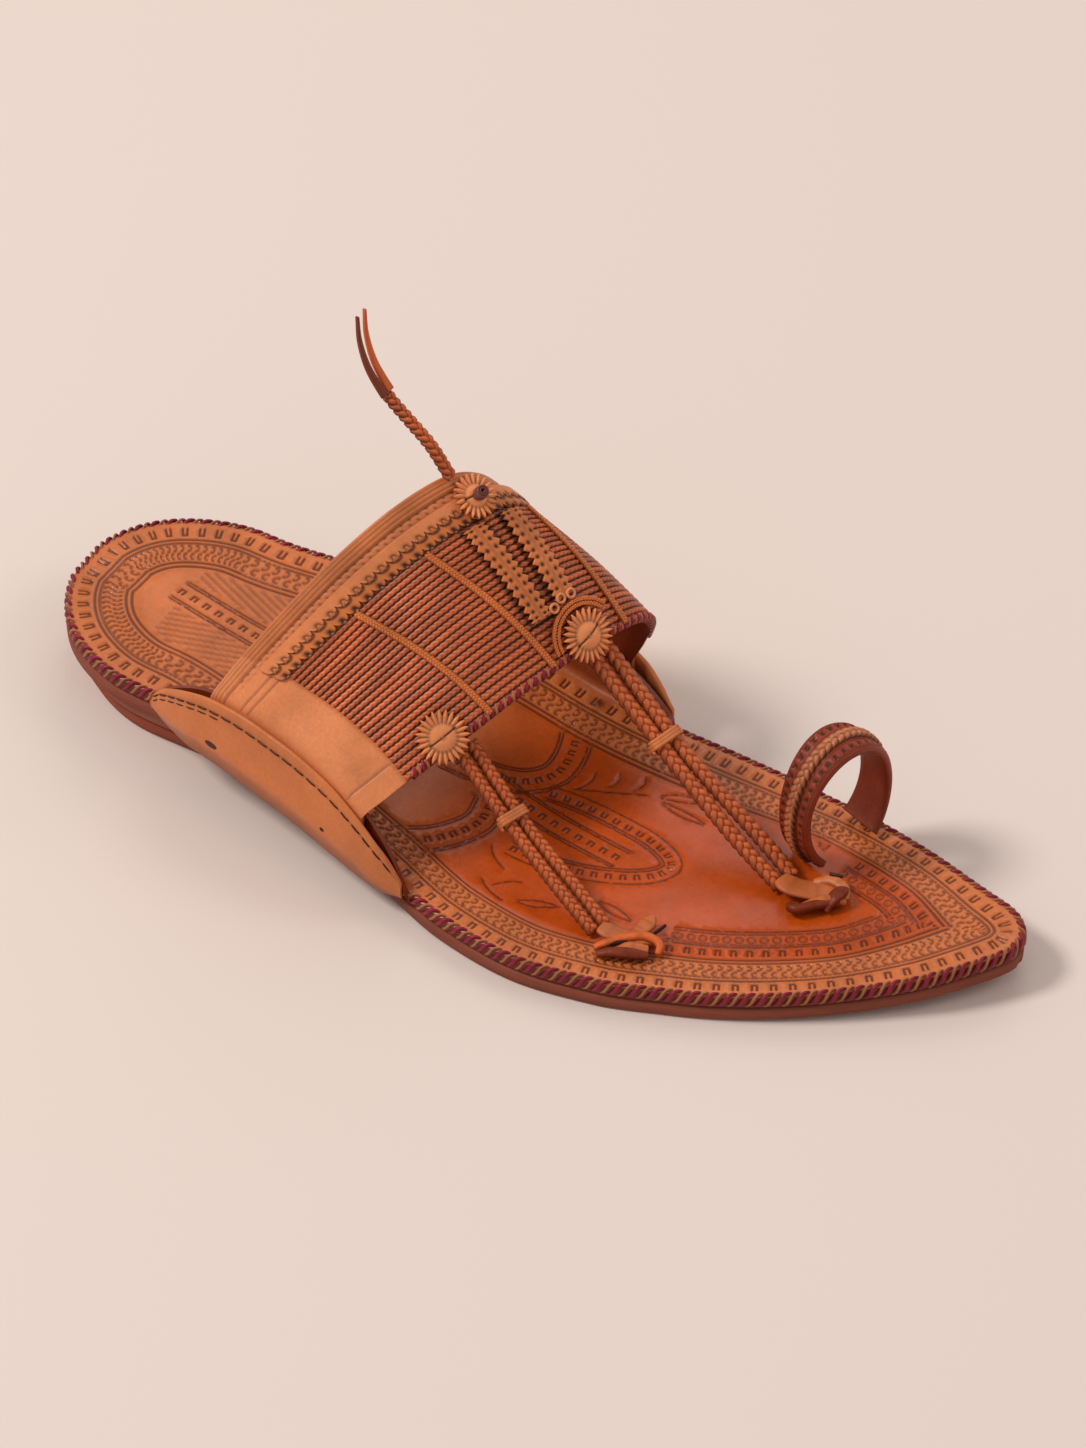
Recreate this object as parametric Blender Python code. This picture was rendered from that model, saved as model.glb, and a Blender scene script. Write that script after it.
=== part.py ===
"""Kolhapuri sandal for the right foot, built as the separate leather pieces that a maker sews together.

X runs from the heel to the toe, Y to the wearer's left (the inner side of the foot) and Z up.
The pieces are worked out in millimetres from the back of the heel, then set on the middle of their box.
"""
import math
from collections import namedtuple

import bpy
import bmesh
from mathutils import Vector

MM = 0.001

# Sole, in millimetres
SOLE_LENGTH = 280.0
BALL_WIDTH = 96.8
HEEL_WIDTH = 70.0
OUTSOLE_THICKNESS = 4.0
FOOTBED_THICKNESS = 3.9
RIM_INSET = 0.8
LIFT_THICKNESS = 5.3
LIFT_COUNT = 2
LIFT_INSET = 1.4
LIFT_TAPER = 2.7
HEEL_BREAST = 63.0
TOE_SPRING = 5.0

# Ears, the leaves that turn up at both sides of the waist
EAR_HEIGHT = 18.7
EAR_LEAF = 1.8
EAR_BEND = 2.4
EAR_PROUD = 1.5
EAR_LEAN = 94.0
EAR_FOOT_TURN = math.radians(50.0)
# Shares of the way through an ear where its outer leaf starts and ends, and its number of sections
EAR_LEAF_FROM = 0.03
EAR_LEAF_TO = 0.98
EAR_SECTIONS = 19
# The outer leaf's thickness where it dies out, and how high the ear is where it is whole, as shares
LEAF_THINNEST = 0.4
LEAF_WHOLE_RISE = 0.4
# The shortest step between two points of the footbed's section, and their reach towards its middle
SECTION_STEP = 0.8
SECTION_REACH = 0.6
SECTION_INNER = 0.4

# Band over the instep
BAND_WALL = 2.0
CROWN_BACK = 57.0
CROWN_FRONT = 28.0
LEAN_BACK = 15.5
LEAN_FRONT = 11.0
CORD_COUNT = 24
CORD_RAISE = 0.9
BINDING_RAISE = 0.5

# Overlays on the band
OVERLAY = 1.1
SCALLOP_PITCH = 3.9
SCALLOP_DEPTH = 1.6
PINKED_WIDTH = 4.4
PINK_PITCH = 2.3
PINK_DEPTH = 0.8
ROSETTE_RADIUS = 7.4
ROSETTE_BACK_RADIUS = 6.3
ROSETTE_THICKNESS = 1.7
ROSETTE_CROWN = 0.6
ROSETTE_CORE = 0.35
ROSETTE_TEETH = 16
ROSETTE_BACK_TEETH = 14
KNOB_RADIUS = 2.1
KNOB_HEIGHT = 3.2
KNOB_CROWN = 0.4
KNOB_SIDES = 5
FILIGREE_WIDTH = 2.6
FILIGREE_FROM = 120.0
FILIGREE_SPAN = 155.0
FILIGREE_SECTIONS = 12

# Braids, tail and toe loop
CENTRE_BRAID_WIDTH = 4.8
SIDE_BRAID_WIDTH = 4.0
BRAID_THICKNESS = 2.8
PLAIT_PITCH = 4.6
PLAIT_NARROW = 0.90
PLAIT_SHIFT = 0.06
PLAIT_SPREAD = 1.12
BRAID_REST = 0.5
BRAID_CLEAR = 0.6
BRAID_SINK = 0.9
TAIL_DIAMETER = 3.8
TAIL_TIP = 2.4
TAIL_REACH = 29.0
TAIL_HEIGHT = 43.6
TAIL_FORWARD = 3.0
TAIL_SEAT = 0.022
TAIL_FLAT = 0.8
TAIL_NARROWS = 0.8
TIP_TAPER = 0.75
TIP_SPREAD = 0.3
TIE_WALL = 0.9
TIE_LENGTH = 3.4
TIE_PLACE = 0.38
TIE_ROUND = 0.6
TIE_OVER = 0.2
TIE_BESIDE = 0.56
TIE_SECTIONS = 14
TAB_LENGTH = 12.0
TAB_WIDTH = 8.5
TAB_THICKNESS = 1.6
TAB_ARCH = 1.6
ROLL_RADIUS = 1.7
ROLL_LENGTH = 9.0
ROLL_PLACE = 0.55
ROLL_END = 0.8
ROLL_SIDES = 8
LOOP_WIDTH = 12.6
LOOP_WALL = 2.4
LOOP_RIDGE = 0.9
LOOP_SPAN = 33.0
LOOP_HEIGHT = 38.0
LOOP_TURN = math.radians(18.0)
LOOP_ROUND = 0.56
LOOP_NARROWS = 0.18
LOOP_SECTIONS = 26

GAP = 0.3
SLOT_GAP = 0.55

# The sole's plan. along: share of the sole's length. centre: share of the ball's width, towards the
# inner side. heel and ball: how much of the heel's and of the ball's width makes up the plan there.
SoleRow = namedtuple("SoleRow", "along centre heel ball")
SOLE_ROWS = (
    SoleRow(0.00, 0.000, 0.960, 0.000),
    SoleRow(0.06, -0.006, 0.950, 0.000),
    SoleRow(0.14, -0.012, 0.975, 0.000),
    SoleRow(0.22, -0.022, 0.740, 0.235),
    SoleRow(0.29, -0.030, 0.480, 0.490),
    SoleRow(0.36, -0.045, 0.240, 0.710),
    SoleRow(0.44, -0.072, 0.080, 0.870),
    SoleRow(0.52, -0.112, 0.000, 0.980),
    SoleRow(0.60, -0.132, 0.000, 0.998),
    SoleRow(0.68, -0.118, 0.000, 0.958),
    SoleRow(0.75, -0.089, 0.000, 0.872),
    SoleRow(0.86, -0.029, 0.000, 0.735),
    SoleRow(0.94, 0.024, 0.000, 0.640),
    SoleRow(1.00, 0.075, 0.000, 0.610),
)
HEEL_ROUND = 0.126
HEEL_WIDEST = 0.14
TOE_ROUND = 0.25
TOE_POWER = 0.56

# The sole's side view. along: share of the length. heel: share of the heel's height.
# spring: share of the toe spring.
LiftRow = namedtuple("LiftRow", "along heel spring")
LIFT_ROWS = (
    LiftRow(0.00, 1.00, 0.00),
    LiftRow(0.12, 1.00, 0.00),
    LiftRow(0.24, 1.00, 0.00),
    LiftRow(0.33, 0.76, 0.00),
    LiftRow(0.42, 0.34, 0.00),
    LiftRow(0.50, 0.06, 0.00),
    LiftRow(0.55, 0.00, 0.00),
    LiftRow(0.68, 0.00, 0.00),
    LiftRow(0.74, 0.00, 0.00),
    LiftRow(0.82, 0.00, 0.10),
    LiftRow(0.91, 0.00, 0.44),
    LiftRow(1.00, 0.00, 1.00),
)

# An ear's height from its rear end to its front end, and how far its two leaves part for the band.
EarRow = namedtuple("EarRow", "through rise cover")
EAR_ROWS = (
    EarRow(0.00, 0.00, 0.00),
    EarRow(0.08, 0.36, 0.35),
    EarRow(0.20, 0.73, 0.95),
    EarRow(0.30, 0.88, 1.00),
    EarRow(0.44, 0.98, 1.00),
    EarRow(0.57, 1.00, 1.00),
    EarRow(0.70, 0.96, 1.00),
    EarRow(0.80, 0.82, 1.00),
    EarRow(0.88, 0.60, 0.85),
    EarRow(0.94, 0.35, 0.30),
    EarRow(0.98, 0.12, 0.00),
    EarRow(1.00, 0.00, 0.00),
)
Ear = namedtuple("Ear", "side rear front band_back band_front")
LATERAL = Ear(-1, 0.150, 0.480, 0.2375, 0.423)
MEDIAL = Ear(1, 0.214, 0.572, 0.372, 0.519)

# The band's two edges above the ears. across: share of the way to the inner side. up: share of the
# edge's crown height.
ArchRow = namedtuple("ArchRow", "back_across back_up front_across front_up")
ARCH_ROWS = (
    ArchRow(0.030, 0.12, 0.070, 0.16),
    ArchRow(0.120, 0.36, 0.280, 0.52),
    ArchRow(0.290, 0.71, 0.470, 0.82),
    ArchRow(0.460, 0.93, 0.660, 0.98),
    ArchRow(0.620, 1.00, 0.800, 1.00),
    ArchRow(0.765, 0.88, 0.910, 0.88),
    ArchRow(0.890, 0.60, 0.985, 0.60),
    ArchRow(0.970, 0.27, 1.005, 0.25),
)

# Where things lie on the band. around: share of the way round from the outer ear. along: share of
# the way from the back edge to the front edge.
BINDING_END = 0.085
CORDS_START = 0.27
CORDS_FROM = 0.185
CORDS_TO = 0.84
SCALLOPS_START = 0.13

PLAN_STATIONS = (0.0008, 0.006, 0.018, 0.036, 0.060, 0.092, 0.125, 0.157, 0.175, 0.193, 0.211, 0.230,
                 0.255, 0.285, 0.320, 0.355, 0.390, 0.425, 0.455, 0.480, 0.500, 0.520, 0.540, 0.560,
                 0.585, 0.620, 0.665, 0.710, 0.755, 0.800, 0.840, 0.875, 0.905, 0.932, 0.955, 0.973,
                 0.986, 0.994, 0.9985)


def smooth_value(rows, key, column, at):
    """Value of a column at a place between the rows, on a curve that passes through every row."""
    keys = [getattr(row, key) for row in rows]
    values = [getattr(row, column) for row in rows]
    if at <= keys[0]:
        return values[0]
    if at >= keys[-1]:
        return values[-1]
    last = len(rows) - 1
    i = max(k for k in range(last) if keys[k] <= at)

    def slope(k):
        """Slope at a row: flat where the values turn, so that the curve never overshoots."""
        if k == 0 or k == last:
            return 0.0
        before = (values[k] - values[k - 1]) / (keys[k] - keys[k - 1])
        after = (values[k + 1] - values[k]) / (keys[k + 1] - keys[k])
        if before * after <= 0.0:
            return 0.0
        return 2.0 * before * after / (before + after)

    step = keys[i + 1] - keys[i]
    t = (at - keys[i]) / step
    rise = values[i + 1] - values[i]
    bend_in = slope(i) * step - rise
    bend_out = rise - slope(i + 1) * step
    return values[i] + t * rise + t * (1.0 - t) * ((1.0 - t) * bend_in + t * bend_out)


def curve_through(points):
    """A smooth curve through the points, as a function of the share of the way along it."""
    marks = [0.0]
    for a, b in zip(points, points[1:]):
        marks.append(marks[-1] + math.sqrt((b - a).length))
    total = marks[-1]

    def place(share):
        at = min(max(share, 0.0), 1.0) * total
        i = max(k for k in range(len(points) - 1) if marks[k] <= at or k == 0)
        p1, p2 = points[i], points[i + 1]
        p0 = points[i - 1] if i else p1 + (p1 - p2)
        p3 = points[i + 2] if i + 2 < len(points) else p2 + (p2 - p1)
        t1, t2 = marks[i], marks[i + 1]
        t0 = t1 - math.sqrt((p1 - p0).length)
        t3 = t2 + math.sqrt((p3 - p2).length)
        a1 = p0.lerp(p1, (at - t0) / (t1 - t0))
        a2 = p1.lerp(p2, (at - t1) / (t2 - t1))
        a3 = p2.lerp(p3, (at - t2) / (t3 - t2))
        b1 = a1.lerp(a2, (at - t0) / (t2 - t0))
        b2 = a2.lerp(a3, (at - t1) / (t3 - t1))
        return b1.lerp(b2, (at - t1) / (t2 - t1))

    return place


def leather(name, colour, roughness):
    """A leather finish: a plain Principled material in one colour."""
    material = bpy.data.materials.new(name)
    material.use_nodes = True
    shader = material.node_tree.nodes["Principled BSDF"]
    shader.inputs["Base Color"].default_value = (*colour, 1.0)
    shader.inputs["Roughness"].default_value = roughness
    shader.inputs["Metallic"].default_value = 0.0
    return material


def add_mesh(name, mesh_data, material, crease=32.0):
    """Turn a bmesh into a closed, outward-facing, smooth-shaded object."""
    bmesh.ops.recalc_face_normals(mesh_data, faces=mesh_data.faces)
    bmesh.ops.triangulate(mesh_data, faces=mesh_data.faces)
    if mesh_data.calc_volume(signed=True) < 0.0:
        bmesh.ops.reverse_faces(mesh_data, faces=mesh_data.faces)
    bmesh.ops.scale(mesh_data, vec=(MM, MM, MM), verts=mesh_data.verts)
    mesh = bpy.data.meshes.new(name)
    mesh_data.to_mesh(mesh)
    mesh_data.free()
    mesh.shade_smooth()
    mesh.set_sharp_from_angle(angle=math.radians(crease))
    mesh.materials.append(material)
    piece = bpy.data.objects.new(name, mesh)
    bpy.context.collection.objects.link(piece)
    return piece


def add_loft(name, rings, material, closed=False):
    """A body through a row of rings with the same number of points, its ends capped."""
    data = bmesh.new()
    loops = [[data.verts.new(point) for point in ring] for ring in rings]
    pairs = list(zip(loops, loops[1:]))
    if closed:
        pairs.append((loops[-1], loops[0]))
    for ring, following in pairs:
        for k in range(len(ring)):
            after = (k + 1) % len(ring)
            data.faces.new((ring[k], ring[after], following[after], following[k]))
    if not closed:
        data.faces.new(loops[0])
        data.faces.new(loops[-1])
    return add_mesh(name, data, material)


# Sole

def heel_height():
    """Height of the stacked lifts with the gaps over them."""
    return LIFT_COUNT * (LIFT_THICKNESS + GAP)


def sole_side(along, side):
    """Distance of the sole's edge from the middle line, signed: side is 1 for the inner edge."""
    heel = smooth_value(SOLE_ROWS, "along", "heel", along) * HEEL_WIDTH
    ball = smooth_value(SOLE_ROWS, "along", "ball", along) * BALL_WIDTH
    centre = smooth_value(SOLE_ROWS, "along", "centre", along) * BALL_WIDTH
    half = (heel + ball) / 2.0
    if along < HEEL_ROUND:
        half *= math.sqrt(1.0 - (1.0 - along / HEEL_ROUND) ** 2)
    if along > 1.0 - TOE_ROUND:
        half *= (1.0 - (1.0 - (1.0 - along) / TOE_ROUND) ** 2) ** TOE_POWER
    return centre + side * half


def underside(along):
    """Height of the outsole's underside."""
    heel = smooth_value(LIFT_ROWS, "along", "heel", along)
    spring = smooth_value(LIFT_ROWS, "along", "spring", along)
    return heel * heel_height() + spring * TOE_SPRING


def footbed_top(along):
    """Height of the footbed's flat top."""
    return underside(along) + OUTSOLE_THICKNESS + GAP + FOOTBED_THICKNESS


def inset_along(along, inset):
    """The same place on a plan that stands back by an inset all round."""
    middle = 0.5
    shrink = 1.0 - 2.0 * inset / SOLE_LENGTH
    return middle + (along - middle) * shrink


def plan_side(along, side, inset):
    """The sole's edge moved inwards, kept on its own side of the plan's middle."""
    edge = sole_side(along, side)
    middle = (sole_side(along, 1) + sole_side(along, -1)) / 2.0
    reach = abs(edge - middle)
    return middle + side * max(reach - inset, 0.12 * reach)


def make_outsole(material):
    rings = []
    for along in PLAN_STATIONS:
        x = along * SOLE_LENGTH
        low = underside(along)
        high = low + OUTSOLE_THICKNESS
        outer = sole_side(along, -1)
        inner = sole_side(along, 1)
        rings.append([Vector((x, outer, low)), Vector((x, inner, low)),
                      Vector((x, inner, high)), Vector((x, outer, high))])
    return add_loft("outsole", rings, material)


def make_lift(name, index, material):
    """One heel lift. Lift 0 stands on the floor, and each lift is a little larger than the one below."""
    low = index * (LIFT_THICKNESS + GAP)
    breast = HEEL_BREAST / SOLE_LENGTH
    shares = [share for share in PLAN_STATIONS if share < breast - 0.01] + [breast]
    rings = []
    for along in shares:
        ring = []
        for height, level in ((low, index), (low + LIFT_THICKNESS, index + 1)):
            inset = LIFT_INSET + LIFT_TAPER * (1.0 - level / LIFT_COUNT)
            x = along * (SOLE_LENGTH - 2.0 * inset) + inset
            outer = plan_side(min(along, HEEL_WIDEST), -1, inset)
            inner = plan_side(min(along, HEEL_WIDEST), 1, inset)
            ring.append((Vector((x, outer, height)), Vector((x, inner, height))))
        (low_outer, low_inner), (high_outer, high_inner) = ring
        rings.append([low_outer, low_inner, high_inner, high_outer])
    return add_loft(name, rings, material)


# Ears

def through_ear(ear, along):
    """Share of the way through an ear, from its rear end to its front end."""
    return (along - ear.rear) / (ear.front - ear.rear)


def ear_rise(ear, along):
    """Height of the inner leaf's edge over the footbed."""
    through = through_ear(ear, along)
    if through <= 0.0 or through >= 1.0:
        return 0.0
    return smooth_value(EAR_ROWS, "through", "rise", through) * EAR_HEIGHT


def ear_cover(ear, along):
    """How far the two leaves part for the band, as a share."""
    through = min(max(through_ear(ear, along), 0.0), 1.0)
    return smooth_value(EAR_ROWS, "through", "cover", through)


def leaf_bend(rise):
    """How far the leather turns up at the edge, and the straight length above the bend."""
    lean = math.radians(EAR_LEAN)
    full_bend = EAR_BEND * (1.0 - math.cos(lean))
    if rise < full_bend:
        return math.acos(1.0 - rise / EAR_BEND), 0.0
    return lean, (rise - full_bend) / math.sin(lean)


def section_point(ear, along, inward, outset_share, outset, proud=0.0):
    """A point of the footbed's cross-section, where its edge turns up as the ear's inner leaf.

    inward is the length from the edge along the leather. The point stands outside the inner leaf's
    inner face by outset_share of the leather's own thickness there and by outset more.
    """
    turn, straight = leaf_bend(ear_rise(ear, along))
    edge = ear.side * plan_side(along, ear.side, RIM_INSET)
    bend_start = edge - EAR_BEND * math.sin(min(turn, math.pi / 2.0))
    inward -= proud
    if inward <= straight:
        angle = turn
        reach = straight - inward
        y = bend_start + EAR_BEND * math.sin(turn) + reach * math.cos(turn)
        z = EAR_BEND * (1.0 - math.cos(turn)) + reach * math.sin(turn)
    elif inward <= straight + EAR_BEND * turn:
        angle = turn - (inward - straight) / EAR_BEND
        y = bend_start + EAR_BEND * math.sin(angle)
        z = EAR_BEND * (1.0 - math.cos(angle))
    else:
        angle = 0.0
        y = bend_start - (inward - straight - EAR_BEND * turn)
        z = 0.0
    thickness = FOOTBED_THICKNESS + (EAR_LEAF - FOOTBED_THICKNESS) * min(angle / (math.pi / 2.0), 1.0)
    out = outset_share * thickness + outset
    y += out * math.sin(angle)
    z -= out * math.cos(angle)
    return Vector((along * SOLE_LENGTH, ear.side * y, footbed_top(along) + z))


def section_lengths(ear, along):
    """Lengths along the leather from its edge to each point of the footbed's half section."""
    turn, straight = leaf_bend(ear_rise(ear, along))
    bend = EAR_BEND * turn
    half = (plan_side(along, 1, RIM_INSET) - plan_side(along, -1, RIM_INSET)) / 2.0
    lengths = [0.0, max(straight, SECTION_STEP)]
    for part in range(3):
        lengths.append(lengths[-1] + max(bend / 3.0, SECTION_STEP))
    to_middle = straight + bend + half - EAR_BEND * math.sin(min(turn, math.pi / 2.0))
    if lengths[-1] > SECTION_REACH * to_middle:
        shrink = SECTION_REACH * to_middle / lengths[-1]
        lengths = [length * shrink for length in lengths]
    lengths.append(lengths[-1] + SECTION_INNER * (to_middle - lengths[-1]))
    return lengths


def make_footbed(material):
    rings = []
    for share in PLAN_STATIONS:
        along = inset_along(share, RIM_INSET)
        top = []
        low = []
        for ear in (LATERAL, MEDIAL):
            lengths = section_lengths(ear, along)
            above = [section_point(ear, along, length, 0.0, 0.0) for length in lengths]
            below = [section_point(ear, along, length, 1.0, 0.0) for length in lengths]
            if ear.side > 0:
                above.reverse()
                below.reverse()
            top += above
            low += below
        low.reverse()
        rings.append(top + low)
    return add_loft("footbed", rings, material)


def make_ear(name, ear, material):
    """The outer leaf of an ear, which stands outside the inner leaf and leaves room for the band."""
    rings = []
    for step in range(EAR_SECTIONS):
        share = (1.0 - math.cos(math.pi * step / (EAR_SECTIONS - 1))) / 2.0
        through = EAR_LEAF_FROM + (EAR_LEAF_TO - EAR_LEAF_FROM) * share
        along = ear.rear + (ear.front - ear.rear) * through
        rise = ear_rise(ear, along)
        thin = min(1.0, LEAF_THINNEST + (1.0 - LEAF_THINNEST) * rise / (LEAF_WHOLE_RISE * EAR_HEIGHT))
        wall = EAR_LEAF * thin
        proud = EAR_PROUD * thin
        inside = GAP + ear_cover(ear, along) * (BAND_WALL + 2.0 * SLOT_GAP - GAP)
        turn, straight = leaf_bend(rise)
        low_turn = EAR_BEND * max(turn - EAR_FOOT_TURN, 0.1)
        top = straight + proud
        lengths = [0.0, 0.5 * top, top, top + 0.5 * low_turn, top + low_turn]
        inner = [section_point(ear, along, length, 1.0, inside, proud) for length in lengths]
        outer = [section_point(ear, along, length, 1.0, inside + wall, proud) for length in lengths]
        outer.reverse()
        rings.append(inner + outer)
    return add_loft(name, rings, material)


# Band

# How deep the band goes down between an ear's leaves, how much of its way round that takes, and how
# deep its curve over the instep starts
SLOT_DEPTH = 0.75
SLOT_SHARE = 0.07
ARCH_DEPTH = 0.3
INSIDE_ROWS = (1.0, 0.8, 0.6, 0.4, 0.2, 0.0)
ARCH_COLUMNS = 20
ROW_STEP = 0.006
COLUMN_STEP = 0.004
CORD_EDGE = 0.04


def band_foot(ear, along_band, depth_share, outset):
    """A point of the band's end between the two leaves of an ear."""
    along = ear.band_back + (ear.band_front - ear.band_back) * along_band
    rise = ear_rise(ear, along)
    depth = depth_share * (rise - EAR_BEND)
    return section_point(ear, along, depth, 1.0, SLOT_GAP + outset)


def band_edge_rows(along_band):
    """Control points of the band's arch, above the ears, at a share of the way to its front edge."""
    outer = band_foot(LATERAL, along_band, 0.0, BAND_WALL / 2.0)
    inner = band_foot(MEDIAL, along_band, 0.0, BAND_WALL / 2.0)
    crown = CROWN_BACK + (CROWN_FRONT - CROWN_BACK) * along_band
    lean = LEAN_BACK + (LEAN_FRONT - LEAN_BACK) * along_band
    points = []
    for row in ARCH_ROWS:
        across = row.back_across + (row.front_across - row.back_across) * along_band
        up = row.back_up + (row.front_up - row.back_up) * along_band
        point = outer.lerp(inner, across)
        points.append(point + Vector((lean * up, 0.0, crown * up)))
    return [outer] + points + [inner]


# The band's arch curves, one for each place along the band, kept once they are worked out.
ARCHES = {}


def band_middle(around, along_band):
    """A point of the band's middle surface."""
    if around < SLOT_SHARE:
        return band_foot(LATERAL, along_band, SLOT_DEPTH * (1.0 - around / SLOT_SHARE), BAND_WALL / 2.0)
    if around > 1.0 - SLOT_SHARE:
        return band_foot(MEDIAL, along_band, SLOT_DEPTH * (1.0 - (1.0 - around) / SLOT_SHARE),
                         BAND_WALL / 2.0)
    if along_band not in ARCHES:
        outer = band_foot(LATERAL, along_band, ARCH_DEPTH, BAND_WALL / 2.0)
        inner = band_foot(MEDIAL, along_band, ARCH_DEPTH, BAND_WALL / 2.0)
        rows = band_edge_rows(along_band)
        whole = [outer] + rows + [inner]
        marks = [0.0]
        for a, b in zip(whole, whole[1:]):
            marks.append(marks[-1] + math.sqrt((b - a).length))
        start = marks[1] / marks[-1]
        end = marks[-2] / marks[-1]
        ARCHES[along_band] = (curve_through(whole), start, end)
    place, start, end = ARCHES[along_band]
    share = (around - SLOT_SHARE) / (1.0 - 2.0 * SLOT_SHARE)
    return place(start + (end - start) * share)


def band_normal(around, along_band):
    """The band's outward direction."""
    small = 0.004
    back = max(along_band - small, 0.0)
    front = min(along_band + small, 1.0)
    near = max(around - small, SLOT_SHARE)
    far = min(around + small, 1.0 - SLOT_SHARE)
    across = band_middle(far, along_band) - band_middle(near, along_band)
    forward = band_middle(around, front) - band_middle(around, back)
    return forward.cross(across).normalized()


def band_point(around, along_band, height):
    """A point at a height over the band's middle surface."""
    if around < SLOT_SHARE or around > 1.0 - SLOT_SHARE:
        ear = LATERAL if around < SLOT_SHARE else MEDIAL
        inside = around if around < SLOT_SHARE else 1.0 - around
        depth = SLOT_DEPTH * (1.0 - inside / SLOT_SHARE)
        return band_foot(ear, along_band, depth, BAND_WALL / 2.0 + height)
    return band_middle(around, along_band) + band_normal(around, along_band) * height


def band_outside():
    """Places and raised heights along the band's outer face, from the back edge to the front edge."""
    rows = [(0.0, BINDING_RAISE), (BINDING_END, BINDING_RAISE), (BINDING_END + ROW_STEP, 0.0),
            (CORDS_START - ROW_STEP, 0.0)]
    pitch = (1.0 - CORDS_START) / CORD_COUNT
    for cord in range(CORD_COUNT):
        rows.append((CORDS_START + pitch * (cord + CORD_EDGE), 0.0))
        rows.append((CORDS_START + pitch * (cord + 0.5), CORD_RAISE))
    rows.append((1.0, 0.0))
    return rows


def band_columns():
    """Places around the band, closer together where it turns down to the ears."""
    columns = [0.0, SLOT_SHARE * 0.5, SLOT_SHARE]
    for step in range(1, ARCH_COLUMNS):
        columns.append(SLOT_SHARE + (1.0 - 2.0 * SLOT_SHARE) * step / ARCH_COLUMNS)
    columns += [1.0 - SLOT_SHARE, 1.0 - SLOT_SHARE * 0.5, 1.0]
    for cords_end in (CORDS_FROM, CORDS_TO):
        columns += [cords_end - COLUMN_STEP, cords_end + COLUMN_STEP]
    return sorted(columns)


def cords_here(around):
    """1 where the cords run, 0 on the smooth end panels and in the ears."""
    return 1.0 if CORDS_FROM < around < CORDS_TO else 0.0


def make_upper(material):
    rows = band_outside()
    rings = []
    for around in band_columns():
        in_slot = around <= SLOT_SHARE or around >= 1.0 - SLOT_SHARE
        ring = []
        for along_band, raised in rows:
            lifted = 0.0 if in_slot else raised
            if along_band > CORDS_START:
                lifted *= cords_here(around)
            ring.append(band_point(around, along_band, BAND_WALL / 2.0 + lifted))
        for along_band in INSIDE_ROWS:
            ring.append(band_point(around, along_band, -BAND_WALL / 2.0))
        rings.append(ring)
    return add_loft("upper", rings, material)


def band_size(around, along_band):
    """Lengths in millimetres of one whole share around and one whole share along, near a place."""
    small = 0.01
    around_step = band_middle(around + small, along_band) - band_middle(around - small, along_band)
    front = min(along_band + small, 1.0)
    back = max(along_band - small, 0.0)
    along_length = (band_middle(around, front) - band_middle(around, back)).length
    return around_step.length / (2.0 * small), along_length / (front - back)


# The overlay's two ends and its front edge, as places on the band, and one scallop's outline
SCALLOPS_FROM = CORDS_FROM - 0.01
SCALLOPS_TO = CORDS_TO + 0.02
SCALLOPS_FRONT = CORDS_START - 0.007
SCALLOP_SHAPE = (0.0, 0.85, 1.0, 0.85)


def make_scallops(material):
    """The scalloped overlay behind the cords: straight at its back, scalloped at its front."""
    back = SCALLOPS_START
    length = (SCALLOPS_TO - SCALLOPS_FROM) * band_size(0.5, back)[0]
    steps = max(int(length / SCALLOP_PITCH), 3) * len(SCALLOP_SHAPE)
    seat = BAND_WALL / 2.0 + 1.5 * GAP
    rings = []
    for step in range(steps + 1):
        around = SCALLOPS_FROM + (SCALLOPS_TO - SCALLOPS_FROM) * step / steps
        drawn_in = 1.0 - SCALLOP_SHAPE[step % len(SCALLOP_SHAPE)]
        edge = SCALLOPS_FRONT - SCALLOP_DEPTH * drawn_in / band_size(around, back)[1]
        ring = [band_point(around, back, seat), band_point(around, edge, seat),
                band_point(around, edge, seat + OVERLAY), band_point(around, back, seat + OVERLAY)]
        rings.append(ring)
    return add_loft("scallop_strip", rings, material)


StripRow = namedtuple("StripRow", "share around along")
STRIP_OUTER = (StripRow(0.0, 0.512, 0.300), StripRow(0.5, 0.500, 0.56), StripRow(1.0, 0.488, 0.81))
STRIP_INNER = (StripRow(0.0, 0.572, 0.310), StripRow(0.5, 0.554, 0.55), StripRow(1.0, 0.536, 0.77))


def make_pinked_strip(name, rows, material):
    """A saw-toothed strip over the cords, from the back rosette towards the centre one."""
    seat = OVER_CORDS
    ends = [band_point(rows[k].around, rows[k].along, seat) for k in (0, -1)]
    count = 2 * max(int((ends[1] - ends[0]).length / PINK_PITCH), 2)
    rings = []
    for step in range(count + 1):
        share = step / count
        around = smooth_value(rows, "share", "around", share)
        along_band = smooth_value(rows, "share", "along", share)
        around_size = band_size(around, along_band)[0]
        half = (PINKED_WIDTH / 2.0 - PINK_DEPTH * (step % 2)) / around_size
        high = seat + OVERLAY
        low_side = band_point(around - half, along_band, seat)
        high_side = band_point(around + half, along_band, seat)
        rings.append([low_side, high_side, band_point(around + half, along_band, high),
                      band_point(around - half, along_band, high)])
    return add_loft(name, rings, material)


def disc_frame(around, along_band, height):
    """Middle and three directions of a disc that lies on the band."""
    middle = band_point(around, along_band, height)
    normal = band_normal(around, along_band)
    across = band_middle(around + 0.01, along_band) - band_middle(around - 0.01, along_band)
    across = (across - normal * across.dot(normal)).normalized()
    forward = across.cross(normal)
    return middle, across, forward, normal


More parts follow.
